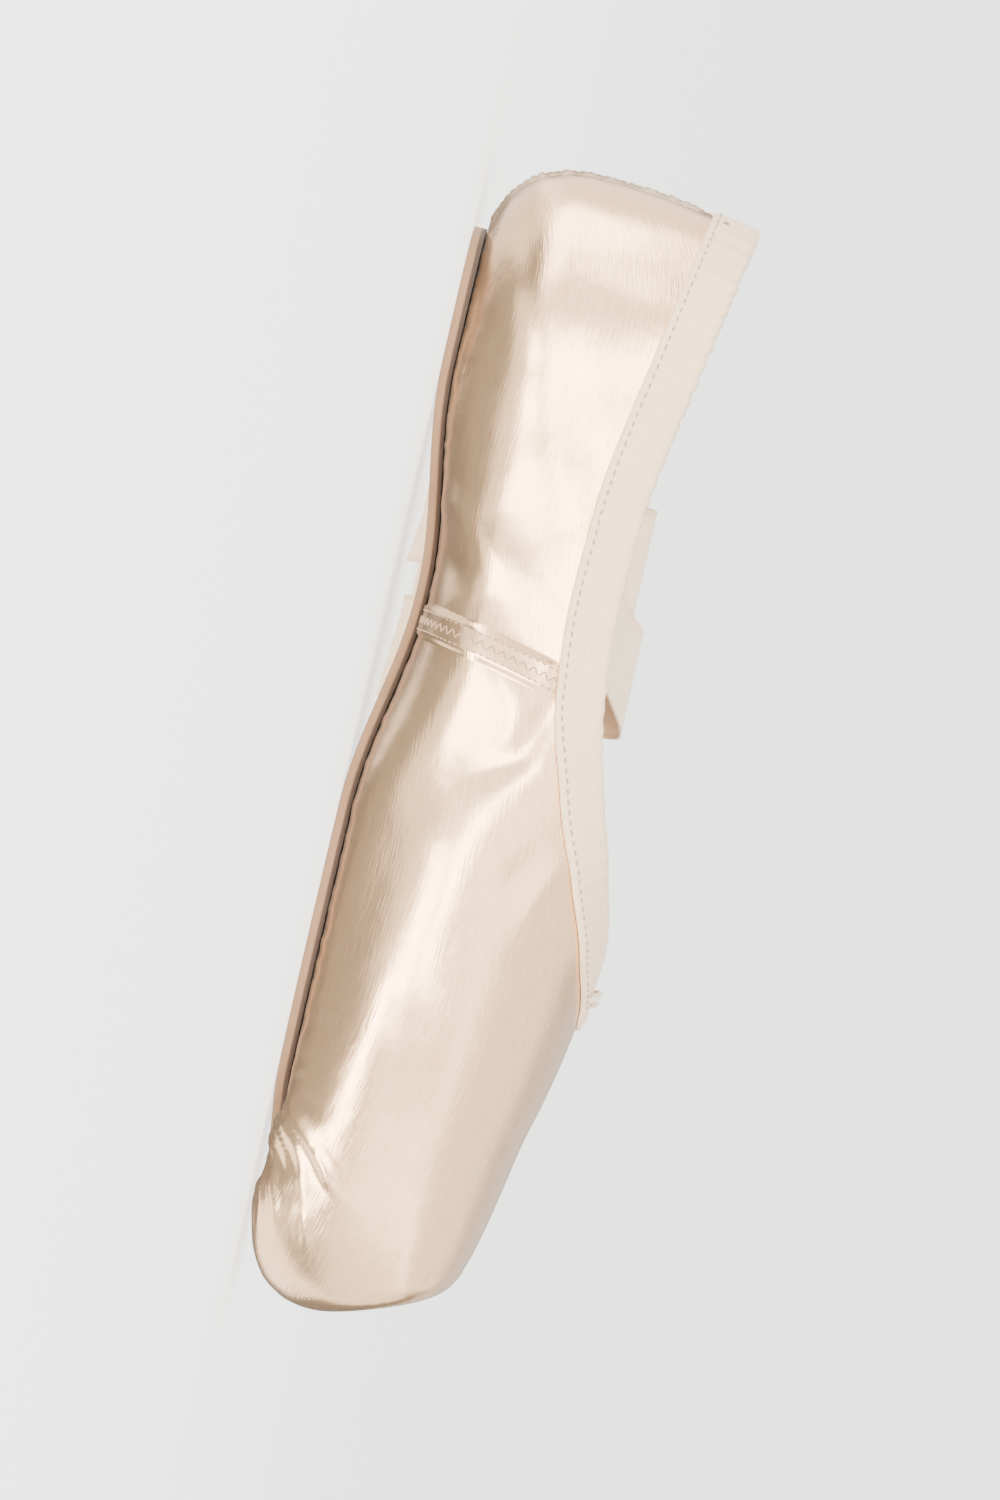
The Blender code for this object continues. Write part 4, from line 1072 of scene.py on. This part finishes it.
# The thread is painted darker tan than its peach: partly its colour, partly painted shade of the needle holes
# at each stitch.
thread_and_hole_shade_tones = (0.20, 0.12, 0.07), (0.34, 0.23, 0.145)
# Each kind of stitch: its spacing, length and thickness, and how far it leans in turns.
binding_stitch = (0.00205, 0.0013, 0.00042)
seam_stitch = (0.00150, 0.00105, 0.00034)
zigzag_stitch = (0.00115, 0.0021, 0.00034, math.radians(52))
heel_stitch = (0.0017, 0.0012, 0.00036)
above_sole, under_tape = 0.0008, 0.0006
heel_stitch_row = stations - 3
binding_bare_ends = slice(4, -4)

thread, thread_tree = node_material("sewing_thread")
# Dark tan thread: painted shade of the needle holes, over the thread's own colour.
colour = mixed_colour(thread_tree, object_noise(thread_tree, 2400.0, 1.0), *thread_and_hole_shade_tones)
set_surface(thread_tree, {"Base Color": colour, "Roughness": 0.5, "Sheen Weight": 0.1})


def stitch_tree():
    """Stitches set along a line that lies on the cloth, half sunk in it and leaning by turns."""
    tree = bpy.data.node_groups.new("row of stitches", "GeometryNodeTree")
    sizes = (("Spacing", 0.002), ("Length", 0.0016), ("Thickness", 0.0004), ("Slant", 0.0))
    sizes = [(name, "Float", value) for name, value in sizes]
    add_sockets(tree, "INPUT", (("Line", "Geometry"), *sizes, ("Thread", "Material")))
    add_sockets(tree, "OUTPUT", (("Stitches", "Geometry"),))
    source = add_node(tree, "NodeGroupInput")
    curve = add_node(tree, "GeometryNodeMeshToCurve", {0: source["Line"]})[0]
    spaced = {"Curve": curve, "Length": source["Spacing"]}
    points = add_node(tree, "GeometryNodeCurveToPoints", spaced, mode="LENGTH")
    out = add_node(tree, "GeometryNodeInputNamedAttribute", {"Name": "out"}, data_type="FLOAT_VECTOR")
    out = out["Attribute"]
    align = "FunctionNodeAlignRotationToVector"
    along = add_node(tree, align, {"Vector": points["Tangent"]}, axis="X")["Rotation"]
    stood = add_node(tree, align, {"Rotation": along, "Vector": out}, axis="Z", pivot_axis="X")["Rotation"]
    in_turn = add_math(tree, "MODULO", add_node(tree, "GeometryNodeInputIndex")[0], 2.0)
    lean = add_math(tree, "MULTIPLY", add_math(tree, "MULTIPLY_ADD", in_turn, 2.0, -1.0), source["Slant"])
    turn = add_node(tree, "FunctionNodeAxisAngleToRotation", {"Axis": out, "Angle": lean})["Rotation"]
    turned = {"Rotation": stood, "Rotate By": turn}
    slanted = add_node(tree, "FunctionNodeRotateRotation", turned, rotation_space="GLOBAL")["Rotation"]
    ball = add_node(tree, "GeometryNodeMeshUVSphere", {"Segments": 8, "Rings": 6, "Radius": 0.5})["Mesh"]
    sizes = {"X": source["Length"], "Y": source["Thickness"], "Z": source["Thickness"]}
    size = add_node(tree, "ShaderNodeCombineXYZ", sizes)[0]
    stitch = add_node(tree, "GeometryNodeTransform", {"Geometry": ball, "Scale": size})[0]
    stitch = add_node(tree, "GeometryNodeSetShadeSmooth", {"Geometry": stitch})[0]
    row = {"Points": points["Points"], "Instance": stitch, "Rotation": slanted}
    row = add_node(tree, "GeometryNodeInstanceOnPoints", row)[0]
    real = add_node(tree, "GeometryNodeRealizeInstances", {0: row})[0]
    sewn = add_node(tree, "GeometryNodeSetMaterial", {"Geometry": real, "Material": source["Thread"]})[0]
    add_node(tree, "NodeGroupOutput", {0: sewn})
    return tree


row_of_stitches = stitch_tree()


def add_stitches(bm, line, out, spacing, length, thickness, slant=0.0):
    """The stitches along one line, as plain mesh."""
    path = bpy.data.meshes.new("stitch_line")
    path.from_pydata([tuple(point) for point in line], [(i, i + 1) for i in range(len(line) - 1)], [])
    facing = path.attributes.new("out", "FLOAT_VECTOR", "POINT")
    for i, direction in enumerate(out):
        facing.data[i].vector = direction
    holder = add_object("stitch_line", path)
    rule = holder.modifiers.new("stitches", "NODES")
    rule.node_group = row_of_stitches
    values = {"Spacing": spacing, "Length": length, "Thickness": thickness, "Slant": slant, "Thread": thread}
    for socket in row_of_stitches.interface.items_tree:
        if socket.in_out == "INPUT" and socket.name in values:
            rule[socket.identifier] = values[socket.name]
    made = bpy.data.meshes.new_from_object(holder.evaluated_get(bpy.context.evaluated_depsgraph_get()))
    bm.from_mesh(made)
    bpy.data.objects.remove(holder, do_unlink=True)
    for spent in (path, made):
        bpy.data.meshes.remove(spent)


def row_at(foot):
    """The section that meets the floor nearest to a place along the shoe."""
    return int(np.argmin(np.abs(feet - foot)))


def seam_row(side, row):
    """A line up one of the upper's sections, from the sole to just under the binding."""
    shown = (girth[row] > above_sole) & (below_edge[row] > binding_outside + under_tape)
    return outer[side][row][shown], to_side(normals[row][shown], side)


bm = bmesh.new()
for side in (1, -1):
    line, out = tape_stitches[side]
    add_stitches(bm, line[binding_bare_ends], out[binding_bare_ends], *binding_stitch)
    for beside in (-seam_stitch_line, seam_stitch_line):
        add_stitches(bm, *seam_row(side, row_at(side_seam_foot + beside)), *seam_stitch)
    add_stitches(bm, *seam_row(side, row_at(side_seam_foot)), *zigzag_stitch)
    add_stitches(bm, *seam_row(side, heel_stitch_row), *heel_stitch)
upper_stitching = add_piece("upper_stitching", bm, thread)

# The drawstring's knot: the two ends of the cotton cord come out at the throat's point, are tied in a
# small hard knot on the binding, and the rest is cut off or tucked in.

knot_half_size = np.array([0.0021, 0.0031, 0.0010])
knot_from_edge, knot_sink, knot_loop_depth = 0.0036, 0.0002, 2.7
knot_cord_radius, knot_turns, knot_sides = 0.00060, 120, 10
cord_strands_deep, cord_twist, end_points, end_softenings = 0.09, 1.15, 5, 2
# The two ends beside the knot: distances forward and to the side of it, in half sizes of the knot.
knot_ends = (
    ((0.3, 0.9), (0.5, 1.9), (1.2, 2.5), (2.1, 2.3), (2.7, 2.7)),
    ((-0.1, -0.9), (0.2, -1.8), (-0.4, -2.4), (0.1, -3.1)),
)
cord_tones = (0.52, 0.40, 0.29), (0.72, 0.60, 0.47)
cord_cotton, cord_tree = node_material("drawstring_cotton")
twist = object_noise(cord_tree, 1800.0, 2.0)
relief = bumped(cord_tree, twist, 0.0003, 0.6)
set_surface(cord_tree, {"Base Color": mixed_colour(cord_tree, twist, *cord_tones), "Normal": relief})
set_surface(cord_tree, {"Roughness": 0.85})

throat_point = outer[1][first_open_top, -1] * np.array([1, 0, 1])
knot_seat, knot_up = nearest(outer_tree, throat_point + [knot_from_edge, 0, -knot_from_edge / 3])
knot_up = knot_up * np.array([1, 0, 1]) / math.hypot(knot_up[0], knot_up[2])
knot_forward = np.array([knot_up[2], 0.0, -knot_up[0]])
tape_top = binding_gap + binding_thickness
knot_axes = np.array([knot_forward, [0.0, 1.0, 0.0], knot_up])
knot_centre = knot_seat + knot_up * (tape_top + knot_half_size[2] - knot_sink)


def add_cord(bm, line, ends):
    """A twisted cord round the points of a line, closed on itself or with its two ends capped."""
    tangents = np.roll(line, -1, axis=0) - np.roll(line, 1, axis=0)
    if ends:
        tangents[0], tangents[-1] = line[1] - line[0], line[-1] - line[-2]
    tangents /= lengths(tangents)
    sideways = np.cross(tangents, knot_up)
    sideways /= lengths(sideways)
    upwards = np.cross(sideways, tangents)
    rings = []
    for i, place in enumerate(line):
        rings.append([])
        for angle in 2 * math.pi * np.arange(knot_sides) / knot_sides:
            strands = cord_strands_deep * math.sin(2 * angle + cord_twist * i)
            radius = knot_cord_radius * (1 + strands)
            spot = place + radius * (math.cos(angle) * sideways[i] + math.sin(angle) * upwards[i])
            rings[-1].append(bm.verts.new(spot))
    if ends:
        bm.faces.new(rings[0])
        bm.faces.new(rings[-1][::-1])
    for a, b in zip(rings, rings[1:] if ends else rings[1:] + rings[:1]):
        for k in range(knot_sides):
            bm.faces.new((a[k], b[k], b[(k + 1) % knot_sides], a[(k + 1) % knot_sides]))


bm = bmesh.new()
turn = np.linspace(0, 2 * math.pi, knot_turns, endpoint=False)
loop = [np.sin(turn) + 2 * np.sin(2 * turn), np.cos(turn) - 2 * np.cos(2 * turn)]
loop_line = np.stack([*loop, -knot_loop_depth * np.sin(3 * turn)], axis=1) / 3
loop_line *= knot_half_size - knot_cord_radius
add_cord(bm, loop_line @ knot_axes + knot_centre, False)
for corners in knot_ends:
    corners = np.array(corners) * knot_half_size[:2]
    at = np.linspace(0, len(corners) - 1, end_points * len(corners))
    flat_line = resampled(at, range(len(corners)), corners)
    for _ in range(end_softenings):
        flat_line[1:-1] = (flat_line[:-2] + 2 * flat_line[1:-1] + flat_line[2:]) / 4
    end_line = []
    for ahead, aside in flat_line:
        place, normal = nearest(outer_tree, knot_seat + knot_forward * ahead + np.array([0.0, aside, 0.0]))
        end_line.append(place + normal * (tape_top + knot_cord_radius - knot_sink / 2))
    add_cord(bm, np.array(end_line), True)
knot = closed_piece("cord_knot", bm, cord_cotton)
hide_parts("drawstring_knot")

# The ribbons: satin ribbon with woven edges, 22 mm wide and 450 mm long each, sewn inside the quarters
# beside the arch. Untied, both pass over the collar and lie on the floor on the far side of the shoe.

ribbon_width, ribbon_length = 0.022, 0.450
ribbon_solid, ribbon_thickness, floor_clearance = 0.0008, 0.00034, 0.0006
ribbon_sections, ribbon_pieces, ribbon_sharp_angle = 420, 14, 70
wave_height, wave_length, wave_start = 0.0016, 0.055, 0.030
softening, run_step, run_steps_apart, route_points, curve_fineness = 15, 0.001, 4, 1600, 40
floor_start_ahead = 0.004
wall_slant, least_level, direction_easing = 0.09, 0.35, 7
ribbon_tones = (0.70, 0.50, 0.325), (0.82, 0.62, 0.425)
selvedge_colour, selvedge_width, selvedge_inner = (0.66, 0.46, 0.29), 0.0010, 0.0014
# The woven edge is thicker: from which share of the half width, and half its thickness in the ribbon's.
edge_from, edge_half = 0.9, 0.62
# Beyond the sewn end the ribbon curls across its width and flutters: the height and turns of each.
ribbon_free = (0.06, 0.12)
ribbon_curls = ((0.00016, 95), (0.00012, 41))
ribbon_flutter, flutter_turns, flutter_bend, flutter_wander = 0.00020, 260, 3, 70
ribbon_stitch = (0.0021, 0.0016, 0.0005)
sewn_from_edge, sewn_places, sewn_above, sewn_points = 0.0016, (0.0012, 0.0120), 0.00008, 20
# Where each ribbon goes up the inner wall, over the collar and down to the floor.
left_rise = (
    (-0.0440, 0.0284, 0.0270), (-0.0440, 0.0278, 0.0350), (-0.0440, 0.0262, 0.0420),
    (-0.0440, 0.0262, 0.0455), (-0.0441, 0.0275, 0.0480), (-0.0443, 0.0300, 0.0490),
    (-0.0445, 0.0325, 0.0481), (-0.0447, 0.0341, 0.0455), (-0.0448, 0.0350, 0.0400),
    (-0.0448, 0.0356, 0.0300), (-0.0449, 0.0360, 0.0200), (-0.0450, 0.0370, 0.0110),
    (-0.0451, 0.0402, 0.0042),
)
right_rise = (
    (-0.0440, -0.0284, 0.0270), (-0.0440, -0.0279, 0.0330), (-0.0440, -0.0268, 0.0375),
    (-0.0438, -0.0244, 0.0404), (-0.0428, -0.0200, 0.0417), (-0.0395, -0.0110, 0.0416),
    (-0.0342, 0.0000, 0.0424), (-0.0282, 0.0110, 0.0450), (-0.0236, 0.0190, 0.0486),
    (-0.0206, 0.0255, 0.0512), (-0.0188, 0.0330, 0.0519), (-0.0182, 0.0376, 0.0506),
    (-0.0178, 0.0398, 0.0468), (-0.0175, 0.0408, 0.0400), (-0.0172, 0.0414, 0.0300),
    (-0.0170, 0.0418, 0.0200), (-0.0168, 0.0427, 0.0110), (-0.0164, 0.0459, 0.0042),
)
# Then its runs along the floor: the length of each, and by how many degrees it turns and tilts.
left_runs = (
    (0.012, 0, 0), (0.050, 78, 66), (0.018, 0, 12), (0.075, -165, 78), (0.040, 10, 10),
    (0.070, 158, 78), (0.052, -10, 4), (0.064, -104, 76), (0.060, 6, 6),
)
right_runs = ((0.014, 0, 0), (0.060, -74, 60), (0.056, -8, 10), (0.082, 164, 78), (0.130, 16, 4))


def curve_through(points, count):
    """A smooth curve through the points, as count equal pieces."""
    points = np.asarray(points, float)
    along = along_line(points)
    fine = np.linspace(0, along[-1], curve_fineness * len(points))
    padded = np.concatenate([[2 * points[0] - points[1]], points, [2 * points[-1] - points[-2]]])
    i = np.clip(np.searchsorted(along, fine, side="right") - 1, 0, len(points) - 2)
    t = ((fine - along[i]) / (along[i + 1] - along[i]))[:, None]
    a, b, c, d = padded[i], padded[i + 1], padded[i + 2], padded[i + 3]
    curve = 0.5 * (2 * b + (c - a) * t + (2 * a - 5 * b + 4 * c - d) * t**2 + (3 * b - a - 3 * c + d) * t**3)
    return evenly(curve, count)


def window(reach):
    """Weights that fall off to both sides and add up to one."""
    weights = np.hanning(2 * reach + 1)
    return weights / weights.sum()


def floor_run(start, heading, runs):
    """Points and bank angles along the floor, from runs that turn by even arcs."""
    run_lengths, turns, banks = np.array(runs).T
    counts = np.round(run_lengths / run_step).astype(int)
    turning = np.repeat(np.radians(turns) / counts, counts)
    bank = np.repeat(np.radians(banks), counts)
    for _ in range(2):
        turning = np.convolve(np.pad(turning, softening), window(softening), mode="valid")
        bank = np.convolve(np.pad(bank, softening, mode="edge"), window(softening), mode="valid")
    headings = heading + np.cumsum(turning)
    steps = run_step * np.stack([np.cos(headings), np.sin(headings)], axis=1)
    return start[:2] + np.cumsum(steps, axis=0), bank


def ribbon_route(rise, runs):
    """Points along the middle of a ribbon, evenly spaced over its length, and its bank at each."""
    plan, bank = floor_run(np.array(rise[-1]) + [0, floor_start_ahead, 0], math.pi / 2, runs)
    gone = np.arange(len(plan)) * run_step
    lowest = ribbon_width / 2 * np.sin(bank) + ribbon_solid / 2 * np.cos(bank) + floor_clearance
    flatness = np.cos(bank) ** 2 * smoothstep(0, wave_start, gone)
    height = lowest + wave_height * flatness * (1 - np.cos(2 * math.pi * gone / wave_length)) / 2
    floor = np.column_stack([plan, height])
    path = np.concatenate([np.array(rise), floor[::run_steps_apart]])
    banks = np.concatenate([np.zeros(len(rise)), bank[::run_steps_apart]])
    along = along_line(path)
    smoothed = curve_through(path, route_points)
    wanted = np.linspace(0, ribbon_length, ribbon_sections)
    points = resampled(wanted, np.linspace(0, along[-1], len(smoothed)), smoothed)
    return points, np.interp(wanted, along, banks)


def ribbon_directions(centre_line, banks, side):
    """Which way the ribbon's width and its face lie, all along it: level, but for its bank."""
    tangents = np.gradient(centre_line, axis=0)
    tangents /= lengths(tangents)
    wide = np.zeros_like(centre_line)
    previous = np.array([-1.0, -side * wall_slant, 0])
    for i, tangent in enumerate(tangents):
        level = np.array([-tangent[1], tangent[0], 0])
        if np.linalg.norm(level) < least_level:
            level = previous
        level = level - tangent * np.dot(level, tangent)
        level /= np.linalg.norm(level)
        if np.dot(level, previous) < 0:
            level = -level
        previous = level
        wide[i] = level * math.cos(banks[i]) + np.cross(tangent, level) * math.sin(banks[i])
    weights = window(direction_easing)[1:-1]
    padded = np.pad(wide, ((direction_easing - 1, direction_easing - 1), (0, 0)), mode="edge")
    wide = np.stack([np.convolve(padded[:, k], weights, mode="valid") for k in range(3)], axis=1)
    wide -= tangents * np.sum(wide * tangents, axis=1, keepdims=True)
    wide /= lengths(wide)
    return wide, np.cross(tangents, wide)


ribbon_satin, ribbon_tree = node_material("ribbon_satin")
colour, relief = woven(ribbon_tree, (2600, 1700, 0.0, 2.4), ribbon_tones, (0.00006, 0.45))
cloth_map = add_node(ribbon_tree, "ShaderNodeUVMap", uv_map="Cloth")["UV"]
across = add_node(ribbon_tree, "ShaderNodeSeparateXYZ", {0: cloth_map})["X"]
from_middle = add_math(ribbon_tree, "ABSOLUTE", across)
edges = (ribbon_width / 2 - selvedge_inner, ribbon_width / 2 - selvedge_width)
selvedge = smooth_range(ribbon_tree, from_middle, *edges)
colour = mixed_colour(ribbon_tree, selvedge, colour, selvedge_colour)
from_gloss_to_matt = {"Value": selvedge, "To Min": 0.40, "To Max": 0.7}
roughness = add_node(ribbon_tree, "ShaderNodeMapRange", from_gloss_to_matt)["Result"]
set_surface(ribbon_tree, {"Base Color": colour, "Normal": relief, "Roughness": roughness})
set_surface(ribbon_tree, {"Metallic": 0.05, "Sheen Weight": 0.15})

ribbon_threads = bmesh.new()
gone = np.linspace(0, ribbon_length, ribbon_sections)
shares = np.linspace(-1, 1, ribbon_pieces + 1)
half_thick = np.where(np.abs(shares) > edge_from, edge_half, 0.5)[:, None] * ribbon_thickness
places = np.stack(np.meshgrid(shares * ribbon_width / 2, gone), axis=2)
for ribbon_name, rise, runs, side in (
    ("satin_ribbon_left", left_rise, left_runs, 1),
    ("satin_ribbon_right", right_rise, right_runs, -1),
):
    centre_line, banks = ribbon_route(rise, runs)
    wide, facing = ribbon_directions(centre_line, banks, side)
    free = smoothstep(*ribbon_free, gone)
    curl = sum(size * np.sin(gone * turns + start) for (size, turns), start in zip(ribbon_curls, (side, 0)))
    curl *= free
    wander = flutter_bend * np.sin(gone * flutter_wander)
    flutter = ribbon_flutter * np.sin(gone * flutter_turns + wander) * free
    lift = curl[:, None] * (shares**2 - 0.5) + flutter[:, None] * shares * np.abs(shares)
    base = centre_line[:, None] + wide[:, None] * (shares * ribbon_width / 2)[:, None]
    base += facing[:, None] * lift[:, :, None]
    bm = cloth_mesh()
    front, rear = (add_skin(bm, base + sign * facing[:, None] * half_thick, places) for sign in (1, -1))
    add_rims(bm, front, rear, places)
    for end in (0, -1):
        add_strip(bm, front[end], rear[end], places[end])
    ribbon = closed_piece(ribbon_name, bm, ribbon_satin, ribbon_sharp_angle)
    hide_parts("ribbon_left" if side > 0 else "ribbon_right")
    toward = facing if np.dot(facing[2], [0, -side, 0]) > 0 else -facing
    patch = [int(round(at / ribbon_length * (ribbon_sections - 1))) for at in sewn_places]
    reach = ribbon_width / 2 - sewn_from_edge
    surface = toward * (ribbon_thickness / 2 + sewn_above)
    sewn = slice(patch[0], patch[1] + 1)
    for edge in (-1, 1):
        line = (centre_line + wide * edge * reach + surface)[sewn]
        add_stitches(ribbon_threads, line, toward[sewn], *ribbon_stitch)
    for row in patch:
        line = centre_line[row] + wide[row] * np.linspace(-reach, reach, sewn_points)[:, None] + surface[row]
        add_stitches(ribbon_threads, line, np.repeat(toward[row][None], sewn_points, axis=0), *ribbon_stitch)
ribbon_stitching = add_piece("ribbon_stitching", ribbon_threads, thread)
